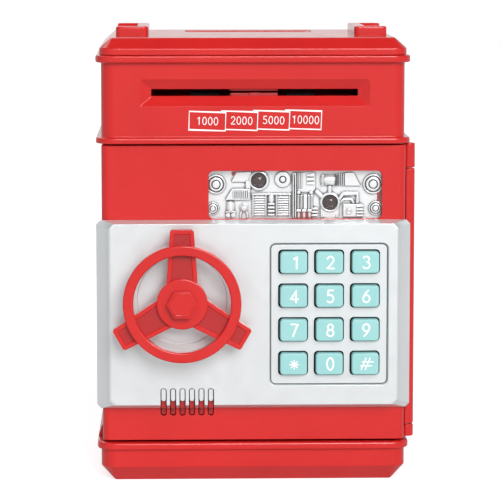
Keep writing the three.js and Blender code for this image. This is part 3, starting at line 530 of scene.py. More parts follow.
def lens_glass():
    graph = Graph("lamp_lens_red")
    deep = graph.blend(graph.noise(700, 3), (0.018, 0.004, 0.0035), (0.034, 0.007, 0.006))
    graph.feed("Base Color", deep)
    graph.roughness(0.07, 0.02)
    graph.bumps(graph.noise(1800, 2), 0.03, 0.00003)
    graph.set(Specular_IOR_Level=0.4)
    return graph.material


def board_mask():
    """Green solder mask with faint copper tracks under it."""
    graph = Graph("circuit_board_green")
    tracks = graph.add("ShaderNodeTexBrick")
    tracks.inputs["Scale"].default_value = 320
    graph.link(graph.space, tracks.inputs["Vector"])
    lines = graph.spread(tracks.outputs["Fac"], 0, 1, 0, 0.6)
    graph.feed("Base Color", graph.blend(lines, (0.02, 0.16, 0.07), (0.05, 0.26, 0.12)))
    graph.roughness(0.4, 0.06)
    graph.bumps(lines, 0.2, 0.00005)
    return graph.material


def cell_sleeve():
    """A printed shrink sleeve: a dark band at one third of the cell, no lettering."""
    graph = Graph("cell_sleeve_print")
    split = graph.add("ShaderNodeSeparateXYZ")
    graph.link(graph.space, split.inputs["Vector"])
    band = graph.spread(split.outputs["X"], 0.0095, 0.0097, 0, 1)
    body = graph.blend(band, (0.05, 0.14, 0.34), (0.62, 0.42, 0.12))
    graph.feed("Base Color", graph.blend(graph.worn_and_highlit_edges(0.3), body, (0.7, 0.7, 0.7)))
    graph.roughness(0.2, 0.05)
    graph.bumps(graph.noise(400, 3), 0.08, 0.00005)
    graph.set(Metallic=0.2)
    return graph.material


LOOKS = {
    RED: moulded(
        "glossy_red_abs", (0.60, 0.016, 0.015), (0.565, 0.014, 0.013), (0.85, 0.16, 0.14), 0.2,
        Specular_IOR_Level=0.3, Coat_Weight=0.35, Coat_Roughness=0.05,
    ),
    "silver_plastic": silver_paint("satin_silver_paint", (0.72, 0.745, 0.755), (0.655, 0.68, 0.69), 0.36),
    "relief_silver": relief_paint(),
    "mint_plastic": moulded(
        "satin_mint_caps", (0.315, 0.62, 0.61), (0.29, 0.585, 0.58), (0.75, 0.95, 0.92), 0.42, rubbed_and_highlit_share=0.5,
    ),
    "clear_plastic": clear_sheet(),
    "lamp_lens": lens_glass(),
    "black_plastic": moulded(
        "black_abs", (0.024, 0.025, 0.027), (0.018, 0.018, 0.02), (0.12, 0.12, 0.12), 0.5,
    ),
    "white_plastic": moulded("white_acetal", (0.84, 0.84, 0.81), (0.8, 0.8, 0.77), (0.92, 0.92, 0.9), 0.42),
    "rubber": moulded("soft_rubber", (0.03, 0.03, 0.032), (0.045, 0.045, 0.047), (0.09, 0.09, 0.09), 0.8),
    "steel": brushed("zinc_plated_steel", (0.62, 0.63, 0.64), (0.5, 0.51, 0.52), 0.37, (1, 1, 0.12)),
    "circuit_board": board_mask(),
    "cell_jacket": cell_sleeve(),
}
# matt near-black standing for painted shade: the gaps round the keys and the backing behind the slots
SHADE_BLACK = moulded(
    "matt_shade_black", (0.006, 0.007, 0.007), (0.004, 0.004, 0.005), (0.02, 0.02, 0.02), 0.8,
    Specular_IOR_Level=0.1,
)
# dark grey fill for the groove round the keypad: painted shade
GROOVE_SHADE_GREY = moulded("groove_shade_grey", (0.10, 0.105, 0.105), (0.08, 0.085, 0.085), (0.2, 0.2, 0.2), 0.7)
# a darker copy of the red: painted shade in sunken spoke panels, slot floors and the note slot's lips; also
# the dark red of the relief's patches
SHADE_AND_DEEP_RED = moulded("shade_and_deep_red_abs", (0.42, 0.009, 0.01), (0.38, 0.008, 0.009), (0.7, 0.08, 0.08), 0.37)
INK = moulded("white_print", (0.93, 0.93, 0.92), (0.88, 0.88, 0.87), (0.97, 0.97, 0.97), 0.45, round_edge=0)


# ---- casings
def base_tray():
    rim = WALL_LOW.z - GAP
    tray = casing("base_tray_moulding", [
        (9, WALL), (6.2, WALL, 1), (WALL, 7, 1.5), (WALL, rim, 0.3), (-RIB, rim, 1.1),
        (-RIB, rim - 3.1, 0.9), (-0.7, rim - 3.1, 0.5), (-0.7, 6.4, 0.7), (5, 0, 0.6), (9, 0),
    ])
    post = [(0, 1.5), (4.4, 1.5), (4, 4, 1), (4, 12, 0.4), (0, 12)]
    well = [(0, -1), (3.9, -1), (3.6, 1.8), (1.5, 1.8), (1.5, 11), (0, 11)]
    screws = [middle(f"case_screw_{number}") for number in range(1, 5)]
    posts = [lathe("post", post, spot, "Z") for spot in screws]
    wells = [lathe("well", well, spot, "Z") for spot in screws]
    left = -HALF_X - GAP
    gusset = plate("gusset", sided([
        (left - 1.9, rim - 0.3), (left, rim - 0.3), (left, rim + 4.6), (left - 0.4, rim + 4.6),
        (left - 1.9, rim),
    ]), -26, -36, 0.15)
    place(cut(join(tray, *posts, gusset), *wells), "case", RED, "base_tray")


def case_shell():
    low, high = WALL_LOW.z, WALL_HIGH.z
    walls = casing("case_shell_walls", [
        (0, low, 0.4), (0, high, 0.6), (WALL, high, 0.3), (WALL, low, 0.3),
    ], closed=True)
    walls = cut(walls, brick("doorway", (-80, -80, 0), (80, WALL_LOW.y, 160)))
    jambs = [
        brick("jamb", (side * 57, WALL_LOW.y, low + 0.1), (side * 61.5, WALL_LOW.y + 1.6, high - 0.1), 0.25)
        for side in (-1, 1)
    ]
    hatch_low, hatch_high = box("battery_cover")
    hatch = slab("hatch_hole", oblong(
        hatch_low.x - GAP, hatch_high.x + GAP, hatch_low.z - 0.7, hatch_high.z + GAP, 1.2,
    ), [(0, 40), (0, HALF_Y - 0.35), (-0.35, HALF_Y + 0.02), (-0.35, 60)])
    place(cut(join(walls, *jambs), hatch), "case", RED, "case_shell")


NOTE_Z = 163
NOTE_X = 0.6
THROAT = FRONT + 2.6  # depth at which the note slot's bevel ends
LID_TOP = 185.6


def head_shell():
    low, high = HEAD_LOW.z, HEAD_HIGH.z
    walls = casing("head_shell_moulding", [
        (-RIB, low, 0.7), (-RIB, low + 2.5, 0.9), (0, low + 2.5, 0.5), (0, high - 3, 0.5),
        (-RIB, high - 3, 0.9), (-RIB, high, 0.7), (WALL, high, 0.3), (WALL, low, 0.3),
    ], closed=True)
    u, v = 48.2, 7.5
    lintel = brick("lintel", (NOTE_X - u, FRONT + 1.5, NOTE_Z - v), (NOTE_X + u, FRONT + 6, NOTE_Z + v))
    mouth = [
        (42.8, 1.45, 0.4, FRONT + 8), (42.8, 1.45, 0.4, THROAT), (43.1, 1.75, 0.45, THROAT - 0.25),
        (47.2, 5.2, 0.8, FRONT + 0.3), (47.6, 5.6, 1, FRONT - 0.02), (47.6, 5.6, 1, FRONT - 3),
    ]
    funnel = skin("funnel", [
        upright(around(NOTE_X, NOTE_Z, u, v, radius)(0), y) for u, v, radius, y in mouth
    ])
    place(cut(join(walls, lintel), funnel), "case", RED, "head_shell")
    rear = FRONT + 6.2
    lips = [
        brick("lip", (NOTE_X + left, THROAT + near, NOTE_Z + low), (NOTE_X + right, rear, NOTE_Z + top), edge)
        for left, right, near, low, top, edge in (
            (-9.8, 9.6, 1.5, -1.8, -0.3, 0.15),
            (-9.8, 9.6, 1.5, 0.6, 1.8, 0.15),
            (-2.2, 1.6, 0.7, -1.8, -0.15, 0.2),
        )
    ]
    # the lips inside the note slot in darker red: painted shade
    place(gather("slot_guide_lips", lips), "case", RED, look=SHADE_AND_DEEP_RED)


def lid_lug(side):
    low, high = LID_TOP - 0.2, LID_HIGH.z
    outline = around(side * 50.35, 0, 6.9, 23, 2.2)
    profile = [(0, low), (0, high, 0.9), (1.8, high)]
    block = skin("lug", [level(outline(u), z) for u, z in soften(profile)])
    return cut(block, brick("pocket", (side * 48.2, -18.8, LID_TOP), (side * 60, 18.8, 195), 0.6))


def top_lid():
    low, top = HEAD_HIGH.z + 0.1, LID_TOP
    shell = casing("top_lid_moulding", [
        (12, top - 2.4), (6, top - 2.4, 1), (1.8, low + 1.9, 1), (1.8, low, 0.2), (-0.7, low, 0.4),
        (-0.7, low + 2.7, 0.9), (4.2, top, 1.2), (12, top),
    ])
    chute = middle("coin_chute")
    block = brick("coin_block", (-31, chute.y - 11.5, low), (31, chute.y + 11.5, top - 2))
    rings = [
        (17, 2.4, 0.6, low - 1), (17, 2.4, 0.6, low + 2), (17.3, 2.7, 0.7, low + 2.3),
        (27.6, 8.6, 2, top - 0.4), (28.2, 9.2, 2.3, top + 0.02), (28.2, 9.2, 2.3, top + 3),
    ]
    funnel = skin("coin_funnel", [level(around(0, chute.y, u, v, radius)(0), z) for u, v, radius, z in rings])
    place(cut(join(shell, block, lid_lug(-1), lid_lug(1)), funnel), "case", RED, "top_lid")


# ---- numerals
def glyph_strokes():
    """Strokes of each numeral in a box 0.6 wide and 1 high; a stroke that ends where it starts is a loop."""
    bowl = arc(0.3, 0.3, 0.27, 0.3, 90, 450, 20)
    rays = [(0.36 * math.cos(a * math.pi / 4), 0.36 * math.sin(a * math.pi / 4)) for a in range(4)]
    return {
        "0": [arc(0.3, 0.5, 0.27, 0.5, 0, 360, 28)],
        "1": [[(0.12, 0.8), (0.24, 0.88), (0.35, 1), (0.35, 0.5), (0.35, 0)]],
        "2": [arc(0.29, 0.72, 0.26, 0.28, 165, -35, 14) + [(0.26, 0.25), (0.02, 0), (0.3, 0), (0.58, 0)]],
        "3": [arc(0.27, 0.76, 0.25, 0.24, 145, -85, 12) + arc(0.27, 0.27, 0.29, 0.27, 80, -145, 14)],
        "4": [[(0.6, 0.26), (0.3, 0.26), (0, 0.26), (0.2, 0.6), (0.43, 1), (0.43, 0.5), (0.43, 0)]],
        "5": [[(0.53, 1), (0.34, 1), (0.13, 1), (0.1, 0.78), (0.09, 0.58)]
              + arc(0.26, 0.31, 0.3, 0.31, 95, -135, 16)],
        "6": [[(0.46, 1), (0.24, 0.76), (0.06, 0.46), (0.03, 0.32)], bowl],
        "7": [[(0.02, 1), (0.3, 1), (0.57, 1), (0.38, 0.55), (0.18, 0)]],
        "8": [arc(0.3, 0.755, 0.21, 0.235, -90, 270, 18), arc(0.3, 0.265, 0.27, 0.265, -90, 270, 20)],
        "9": [[(0.14, 0), (0.36, 0.24), (0.54, 0.54), (0.57, 0.68)], [(0.6 - u, 1 - v) for u, v in bowl]],
        "hash": [[(u, 0.02), (u + 0.4, 0.98)] for u in (0.12, 0.46)]
        + [[(v * 0.42 - 0.06, v), (v * 0.42 + 0.84, v)] for v in (0.33, 0.66)],
        "star": [[(0.3 - u, 0.45 - v), (0.3 + u, 0.45 + v)] for u, v in rays],
    }


GLYPHS = glyph_strokes()


def numeral(label, corner, height, y, weight, tilt=0, squeeze=1):
    """The strokes of one numeral as raised ink, its lower left corner at corner."""
    strokes = []
    turn = Matrix.Rotation(tilt, 2)
    for points in GLYPHS[label]:
        loop = math.dist(points[0], points[-1]) < 0.001
        path = []
        for u, v in points[:-1] if loop else points:
            spot = Vector(corner) + turn @ Vector((u * height * squeeze, v * height))
            path.append((spot.x, y, spot.y))
        strokes.append(strand("stroke", path, weight / 2, 0.12, loop))
    return strokes


def note_prints():
    """Four overlapping banknote outlines with plain numerals, printed under the note slot."""
    y = FRONT - 0.03
    width, height, pitch, step = 15.1, 7.6, 13.2, 2.35
    left, low = NOTE_X - 27.3, NOTE_Z - 15.2
    tilt = math.radians(-1.9)
    turn = Matrix.Rotation(tilt, 2)
    ink = []
    for index, label in enumerate(("1000", "2000", "5000", "10000")):
        corner = Vector((left + index * pitch, low + 0.16 * index))
        hidden = width - pitch if index else 0
        rim = [(hidden, 0), (width, 0), (width, height), (0, height)]
        if index:
            rim.append((0, height - 0.5))
        path = []
        for spot in rim:
            u, v = corner + turn @ Vector(spot)
            path.append((u, y, v))
        ink.append(strand("rim", path, 0.25, 0.1, loop=not index))
        start = width / 2 + hidden / 2 - step * len(label) / 2 + 0.35
        for number, digit in enumerate(label):
            spot = corner + turn @ Vector((start + number * step, 2.3))
            ink.extend(numeral(digit, spot, 3.1, y, 0.32, tilt, 0.92))
    place(gather("note_value_prints", ink), "case", "white_plastic", look=INK)


# ---- door
KEY_LABELS = [*"123456789", "star", "0", "hash"]
SPEAKER_SLOTS = [-37.5 + 3.94 * number for number in range(6)]
SLOT_LOW, SLOT_HIGH = 28, 40.4
SLOT_SPLIT = 34.9
PLATE_Z = (PLATE_LOW.z - 1.1, PLATE_HIGH.z - 0.9)
KEY_HOLE = (6.25, 5.1)
PIN = 1.5  # radius of the hinge pin's bore
BARREL = 2.8  # radius of the hinge knuckles
WINDOW = (PANE_LOW.x - GAP, PANE_HIGH.x + GAP, PANE_LOW.z - GAP, PANE_HIGH.z + GAP)


def slot_cutters(floor, face):
    cutters = []
    for x in SPEAKER_SLOTS:
        outline = oblong(x - 1.25, x + 1.25, SLOT_LOW, SLOT_HIGH, 1.1, 5)
        cutters.append(sink("sound_slot", outline, floor, face, 0.1))
    return cutters


def slot_floors(half, low, high, radius, back, front):
    """A thin floor in every speaker slot."""
    return [
        plate("floor", oblong(x - half, x + half, low, high, radius, 5), back, front, 0.1)
        for x in SPEAKER_SLOTS
    ]


def speaker_cloth(name, low, high, back, front):
    # a matt black sheet behind the slots: painted shade that shows as dark lines round the slot floors
    shade_sheet = plate(name, oblong(-42, -13.4, low, high, 1), back, front, 0.1)
    place(shade_sheet, "door", "black_plastic", look=SHADE_BLACK)


def door_panel():
    """A shallow box whose upright front edges are widely rounded."""
    rings = []
    roll, lip, roll_steps = 3.2, 0.5, 8
    for step in range(-1, roll_steps + 1):
        angle = max(step, 0) / roll_steps * math.pi / 2
        y = DOOR_HIGH.y if step < 0 else FRONT + roll * (1 - math.sin(angle))
        away = 1 - math.cos(angle)
        side, rise = roll * away, lip * away
        rings.append(upright(rounded(
            DOOR_LOW.x + side, DOOR_HIGH.x - side, DOOR_LOW.z + rise, DOOR_HIGH.z - rise, 0.7, 4,
        ), y))
    door = skin("door_panel_moulding", rings)
    hinge = middle("hinge_pin")
    cutters = [
        brick("hollow", (DOOR_LOW.x + 2.4, FRONT + 2.2, DOOR_LOW.z + 2.2),
              (DOOR_HIGH.x - 2.4, DOOR_HIGH.y + 3, DOOR_HIGH.z - 2.2)),
        rod("barrel_room", 3.3, 0, 160, hinge, "Z"),
        brick("rear_room", (60, hinge.y - 3.3, 0), (67, -30, 160), 0.2),
        sink("window_hole", oblong(*WINDOW, 2.2), FRONT + 6, FRONT, 0.35),
        brick("keypad_hole", (MAT_LOW.x - 0.4, -60, MAT_LOW.z - 0.4),
              (MAT_HIGH.x + 0.4, -45, MAT_HIGH.z + 0.4)),
        rod("shaft_hole", 3.5, -60, -40, HUB),
    ]
    door = cut(door, *cutters, *slot_cutters(FRONT + 4, FRONT))
    place(door, "door", RED, "door_panel")
    floors = slot_floors(0.98, SLOT_LOW + 0.3, PLATE_Z[0] + 1, 0.85, FRONT + 1.9, FRONT + 0.9)
    floors += slot_floors(0.98, PLATE_Z[0] + 0.2, SLOT_SPLIT - 0.1, 0.1, FACE + 3.2, FACE + 2.2)
    # darker red on the door's slot floors: painted shade
    place(gather("slot_floors_red", floors), "door", RED, look=SHADE_AND_DEEP_RED)
    speaker_cloth("speaker_cloth", 25, 42, FRONT + 2.9, FRONT + 2.4)


def fascia_ring(share, y, corner, radius=0.5):
    """The fascia's outline with cut corners; share 0 is its rim and 1 the edge of its face."""
    left, right = PLATE_LOW.x + 5.9 * share, PLATE_HIGH.x - 5.9 * share
    low, high = PLATE_Z[0] + 1.9 * share, PLATE_Z[1] - 1.35 * share
    return upright(soften([
        (right, high - corner, radius), (right - corner, high, radius),
        (left + corner, high, radius), (left, high - corner, radius),
        (left, low + corner, radius), (left + corner, low, radius),
        (right - corner, low, radius), (right, low + corner, radius),
    ], True, 3), y)


def fascia_shell():
    back = FRONT - GAP
    rims = [
        (0.02, back, 1.7), (0, back - 0.15, 1.7), (0, back - 0.4, 1.7), (0.03, back - 0.6, 1.7),
        (0.6, FACE + 2.1, 1.8), (0.84, FACE + 0.5, 2, 0.8), (0.89, FACE + 0.2, 2, 0.9),
        (0.97, FACE + 0.05, 2, 0.9), (1.06, FACE, 2, 0.9),
    ]
    low, high = PLATE_Z
    inside = skin("inside", [
        upright(rounded(-half, half, low + below, high - above, 1), y) for half, below, above, y in (
            (63.2, 1.8, 1.8, back + 1), (63.2, 1.8, 1.8, back - 0.2), (58.3, 3.8, 2.9, FACE + 1.8),
        )
    ])
    return cut(skin("silver_fascia_plate", [fascia_ring(*rim) for rim in rims]), inside)


def key_holes():
    holes = []
    for label in KEY_LABELS:
        low, high = box("key_" + label)
        outline = around((low.x + high.x) / 2, (low.z + high.z) / 2, *KEY_HOLE, 1.7, 5)
        holes.append(slab("key_hole", outline, [(0, FACE + 4), (0, FACE - 3)]))
    return gather("key_holes", holes)


def frame_groove(name, outline, near, far, inner, outer):
    """A square ring that follows an outline, between two depths."""
    return slab(name, outline, [(inner, near), (inner, far), (outer, far), (outer, near)], True)


def silver_fascia():
    back = FRONT - GAP
    low, high = PLATE_Z
    wings = [
        brick("wing", (side * 63.75, back - 0.5, low + 1.9),
              (side * PLATE_HIGH.x, PLATE_HIGH.y, high - 1.9), 0.35)
        for side in (-1, 1)
    ]
    collar = lathe("collar", [
        (0, FACE + 1.5), (8, FACE + 1.5), (8, FACE - 2, 0.6), (0, FACE - 2),
    ], HUB)
    dish = lathe("dish", [
        (8.05, FACE - 1), (8.05, FACE + 0.3, 0.2), (18.45, FACE + 0.3, 0.1), (18.7, FACE - 0.02),
        (18.7, FACE - 1),
    ], HUB, ring=True, steps=80)
    frame_edge = around((MAT_LOW.x + MAT_HIGH.x) / 2, (MAT_LOW.z + MAT_HIGH.z) / 2, 24.4, 29.5, 2.3)
    panel = slab("panel", frame_edge, [
        (0, FACE + 0.9), (-0.3, FACE + 0.15), (-0.5, FACE - 0.02), (-0.5, FACE - 2),
    ])
    groove = frame_groove("groove", frame_edge, FACE + 0.7, FACE + 1.5, 0.02, 0.42)
    fascia = cut(join(fascia_shell(), *wings, collar), dish, panel)
    fascia = cut(fascia, groove)
    shaft = rod("shaft_hole", 3.5, -60, -40, HUB)
    fascia = cut(fascia, shaft, key_holes(), *slot_cutters(FRONT + 1, FACE))
    place(fascia, "door", "silver_plastic", "silver_fascia")
    # a dark grey fill in the groove round the keypad: painted shade
    groove_shade = frame_groove("keypad_seam", frame_edge, FACE + 1.02, FACE + 1.45, 0.04, 0.4)
    place(groove_shade, "door", "black_plastic", look=GROOVE_SHADE_GREY)
    floors = slot_floors(0.93, SLOT_SPLIT, SLOT_HIGH - 0.35, 0.8, FACE + 2.2, FACE + 0.9)
    place(gather("slot_floors_silver", floors), "door", "silver_plastic")
    speaker_cloth("slot_shade_backing_front", SLOT_SPLIT - 1, SLOT_HIGH + 1.5, FACE + 4.2, FACE + 3.4)


def hinge_leaf():
    low, high = box("hinge_leaf")
    pin = middle("hinge_pin")
    barrel = lathe("hinge_leaf_moulding", [
        (PIN, low.z, 0.1), (BARREL, low.z, 0.5), (BARREL, high.z, 0.5), (PIN, high.z, 0.1),
    ], pin, "Z", ring=True, steps=40)
    strip = brick("strip", (DOOR_HIGH.x + GAP, low.y, low.z), (DOOR_HIGH.x + 1.5, pin.y - 1.8, high.z), 0.3)
    place(join(barrel, strip), "door", RED, "hinge_leaf")


def hinge_bracket():
    low, high = box("hinge_bracket")
    leaf_low, leaf_high = box("hinge_leaf")
    pin = middle("hinge_pin")
    inner, outer = HALF_X + GAP, HALF_X + 1.8
    pieces = [brick("hinge_bracket_moulding", (inner, -38.2, low.z), (outer, high.y, high.z), 0.3)]
    for z0, z1 in ((low.z, leaf_low.z - GAP), (leaf_high.z + GAP, high.z)):
        knuckle = [(0, z0), (BARREL, z0, 0.5), (BARREL, z1, 0.5), (0, z1)]
        pieces.append(lathe("knuckle", knuckle, pin, "Z", steps=40))
        pieces.append(brick("arm", (inner, pin.y, z0 + 0.02), (outer, -37, z1 - 0.02), 0.25))
    hole = rod("pin_hole", PIN, 0, 160, pin, "Z")
    place(cut(join(*pieces), hole), "case", RED, "hinge_bracket")


# ---- window relief
RELIEF = box("relief_plate")[1].y - 1.4
RELIEF_X = WINDOW[0]
RELIEF_Z = WINDOW[2] - 0.5
PRONGS = (37.4, 39.7, 42)
LAMPS = ("led_left", "led_right")


def relief_box(s0, s1, t0, t1, height, edge=0.25, corner=0.25):
    """A raised block on the relief, in mm from the window's lower left corner."""
    outline = oblong(RELIEF_X + s0, RELIEF_X + s1, RELIEF_Z + t0, RELIEF_Z + t1, corner, 3)
    return plate("block", outline, RELIEF + 0.4, RELIEF - height, edge)


def relief_blocks():
    """Raised blocks: (left, right, bottom, top, height), then edge and corner radii if not 0.25."""
    blocks = [
        (7, 11.2, 2.6, 3.4, 1.6), (46.9, 47.8, 13.9, 18.7, 2.1), (52.9, 53.5, 13.7, 18.9, 2.4),
        (56, 64.1, 0.9, 6.3, 1.4), (17.9, 34.4, 10.1, 10.7, 0.9, 0.15, 0.15),
        (34.9, 36.4, 0.2, 19.4, 1.9, 0.5, 0.3), (46.6, 54.2, 0.3, 5.4, 0.9, 0.25, 0.3),
        (40.2 - 0.75, 40.2 + 0.75, 4, 10.2, 1.5, 0.25, 0.2),
    ]
    blocks += [(10.2 + bar * 0.86, 10.2 + bar * 0.86 + 0.5, 8.9, 11.9, 1.75, 0.12, 0.1) for bar in range(8)]
    blocks += [(s, s + 0.5, 14, 19, 1.3, 0.15, 0.15) for s in (54, 54.9, 55.8)]
    blocks += [(s - 0.42, s + 0.42, 4, 10.2, 1.5, 0.25, 0.2) for s in (37.3, 38.6, 41.7, 42.8)]
    blocks += [(s - 0.95, s + 0.95, 3.1, 4.2, 1.9, 0.2, 0.3) for s in PRONGS]
    blocks += [(24.6, 27.4, t, t + 0.8, 1.5, 0.2, 0.3) for t in (1.5, 3, 4.5, 6)]
    blocks += [(40.6, 44, t, t + 0.95, 1.3, 0.2, 0.4) for t in (14.4, 16.1, 17.8)]
    blocks += [(61.4, 64.4, t, t + 0.75, 2, 0.15, 0.3) for t in (1.1, 2.4, 3.7, 5)]
    blocks += [(42.7, 45.5, t, t + 0.9, 1.1, 0.2, 0.4) for t in (1.1, 2.5, 3.9)]
    bottom, top, slats, proud = 1, 9.9, 8, 0.9
    pitch = (top - bottom - 0.8) / slats
    for s0, s1 in ((18.1, 24.1), (27.9, 34)):
        blocks.append((s0, s1, bottom, top, proud * 0.35, 0.2, 0.4))
        blocks += [(s, s + 0.7, bottom, top, proud, 0.2) for s in (s0, s1 - 0.7)]
        for low in [bottom + 0.4 + number * pitch for number in range(slats)]:
            blocks.append((s0 + 0.75, s1 - 0.75, low + 0.22, low + pitch - 0.12, proud * 0.85, 0.15, 0.12))
    return [relief_box(*block) for block in blocks]


def relief_shapes():
    """Raised shapes with slanted sides."""
    shapes = [
        ([(9.4, 15.6), (17.7, 15.6), (17.7, 19.6), (11.6, 19.6)], 1.1),
        ([(15.4, 12.9), (17.4, 12.9), (17.4, 16), (15.4, 16)], 1.5),
        ([(6.9, 8.1), (17.2, 8.1), (17.2, 12.7), (9.7, 12.7)], 1.3),
        ([(36.6, 11.3), (43.3, 11.3), (44.4, 12.6), (44.4, 19.5), (36.6, 19.5)], 0.7),
        ([(56.6, 13.9), (63.2, 13.9), (60.3, 19.3), (56.6, 19.3)], 1.2),
    ]
    pieces = []
    for points, height in shapes:
        outline = sided([(RELIEF_X + s, RELIEF_Z + t) for s, t in points])
        pieces.append(plate("shape", outline, RELIEF + 0.4, RELIEF - height, 0.25))
    return pieces


def relief_rings():
    """Turned details: where, how many sides, and (radius, height) steps inwards."""
    eyelet, button, stud = [(0.95, 1.2), (0.5, 1.2)], [(0.85, 0.9), (0.6, 1.3)], [(0.55, 1), (0.45, 1.5)]
    turned = [
        (8, 1.7, 20, eyelet), (10.2, 1.7, 20, eyelet), (37.4, 11.1, 20, button), (42.6, 11.1, 20, button),
        (47.7, 1, 16, stud), (53.3, 1, 16, stud), (58.4, 3.2, 24, [(1.15, 1.9), (0.75, 1.9), (0.7, 1.6)]),
        (14.6, 4.7, 24, [(2, 0.3), (1.5, 0.3), (1.4, 1.4), (1.1, 2), (0.6, 2.3)]),
        (30.8, 16.6, 36, [(3.4, 0.5), (3.1, 1.3), (1.6, 1.4), (1.4, 0.7), (1.1, 0.7), (1, 1.7)]),
    ]
    knob = [(1, 0.55), (0.86, 0.55), (0.82, 0.3), (0.74, 0.3), (0.7, 0.8), (0.5, 0.85), (0.47, 0.62)]
    knob += [(0.4, 0.62), (0.36, 1), (0.12, 1)]
    knobs = ((3.05, 14.6, 4, 2.2), (1.7, 4.5, 2.6, 1.9), (68.4, 14.6, 4.1, 2.2), (69.5, 4.5, 2.85, 1.9))
    for s, t, size, rise in knobs:
        turned.append((s, t, 36, [(size * radius, rise * height) for radius, height in knob]))
    pieces = []
    for s, t, steps, profile in turned:
        outline = [(0, RELIEF + 0.4), (profile[0][0], RELIEF + 0.4, 0)]
        outline += [(radius, RELIEF - height, 0.12) for radius, height in profile]
        outline.append((0, RELIEF - profile[-1][1], 0))
        pieces.append(lathe("rings", outline, (RELIEF_X + s, RELIEF_Z + t), steps=steps, soft=2))
    return pieces


def relief_pipes():
    """Pipes: (path, radius, height of the pipe's middle)."""
    pipes = [
        ([(9.1, 4.2), (9.1, 6.2)], 1.75, 0.2), ([(26, 7.6), (26, 9.4)], 1.2, 0.4),
        ([(13.2, 0.8), (13.2, 2.2), (13.7, 3.1)], 0.5, 0.3),
        ([(16.1, 0.8), (16.1, 2.2), (15.6, 3.1)], 0.5, 0.3),
        ([(48.6, 16.3), (51.8, 16.3)], 2.35, -0.2), ([(45, 11.4), (47.2, 9.3)], 1, 0.5),
        ([(50.4, 10.5), (50.4, 13.4)], 0.8, 0.5),
        ([(54.3, 8.3), (56, 10.6), (61.9, 10.6), (61.9, 7)], 0.72, 0.6),
        ([(54.9, 7.1), (56.2, 8.4), (59.2, 8.4), (60.3, 6.8)], 0.55, 0.4),
    ]
    pipes += [([(s, 13), (s, 19.2)], 0.32, 0.8) for s in (37.1, 37.9, 38.7)]
    pipes += [([(s, 1), (s, 3.6)], 0.62, 0.7) for s in PRONGS]
    pieces = []
    for path, radius, rise in pipes:
        points = [(RELIEF_X + s, RELIEF - rise, RELIEF_Z + t) for s, t in path]
        pieces.append(strand("pipe", points, radius, 1, sides=12))
    return pieces


def lamp_collar(node):
    profile = [
        (3, RELIEF + 0.4), (3, RELIEF - 1, 0.2), (3.35, RELIEF - 1.7, 0.3), (3.9, RELIEF - 1.6, 0.3),
        (4.2, RELIEF - 0.9, 0.2), (4.2, RELIEF + 0.4),
    ]
    return lathe("lamp_collar", profile, middle(node).xz, ring=True, steps=48)


def relief_plate():
    low, high = box("relief_plate")
    base = plate("relief_base", oblong(low.x, high.x, low.z, high.z, 0.6), high.y, RELIEF, 0.2)
    base = cut(base, *[rod("bore", 3, -60, -40, middle(node).xz) for node in LAMPS])
    pieces = [base] + [lamp_collar(node) for node in LAMPS]
    pieces += relief_blocks() + relief_shapes() + relief_rings() + relief_pipes()
    place(gather("relief_machinery", pieces), "door", "relief_silver", "relief_plate")
    corners = ((36.4, 43.4, 0.3, 3.3), (9.6, 12.6, 18.2, 19.8), (14.2, 16.6, 18.6, 19.8), (70.2, 71.8, 2, 17))
    patches = []
    for s0, s1, t0, t1 in corners:
        outline = oblong(RELIEF_X + s0, RELIEF_X + s1, RELIEF_Z + t0, RELIEF_Z + t1, 0.3, 3)
        patches.append(plate("patch", outline, RELIEF + 0.3, RELIEF - 0.12, 0.05))
    place(gather("relief_red_patches", patches), "door", "relief_silver", look=SHADE_AND_DEEP_RED)


def lamps():
    dome_steps = 10
    for node in LAMPS:
        low, high = box(node)
        radius = (high.x - low.x) / 2
        profile = [(0, high.y), (radius, high.y, 0.2)]
        for step in range(dome_steps):
            angle = math.pi / 2 * step / dome_steps
            profile.append((radius * math.cos(angle), low.y + 1.6 * (1 - math.sin(angle)), 0))
        profile.append((0, low.y, 0))
        place(lathe(node + "_dome", profile, middle(node).xz), "door", "lamp_lens", node)


# ---- hand wheel
def spoke_outline(angle, half_in, half_out, near, far, corner=0):
    """One spoke seen from the front, turned round the hub."""
    inner = half_out - corner
    points = [(half_out, far - corner), (inner, far), (-inner, far), (-half_out, far - corner)]
    if not corner:
        points = [(half_out, far), (-half_out, far)]
    points += [(-half_in, near), (half_in, near)]
    turn = Matrix.Rotation(angle, 2)
    return sided([tuple(HUB + turn @ Vector(point)) for point in points])


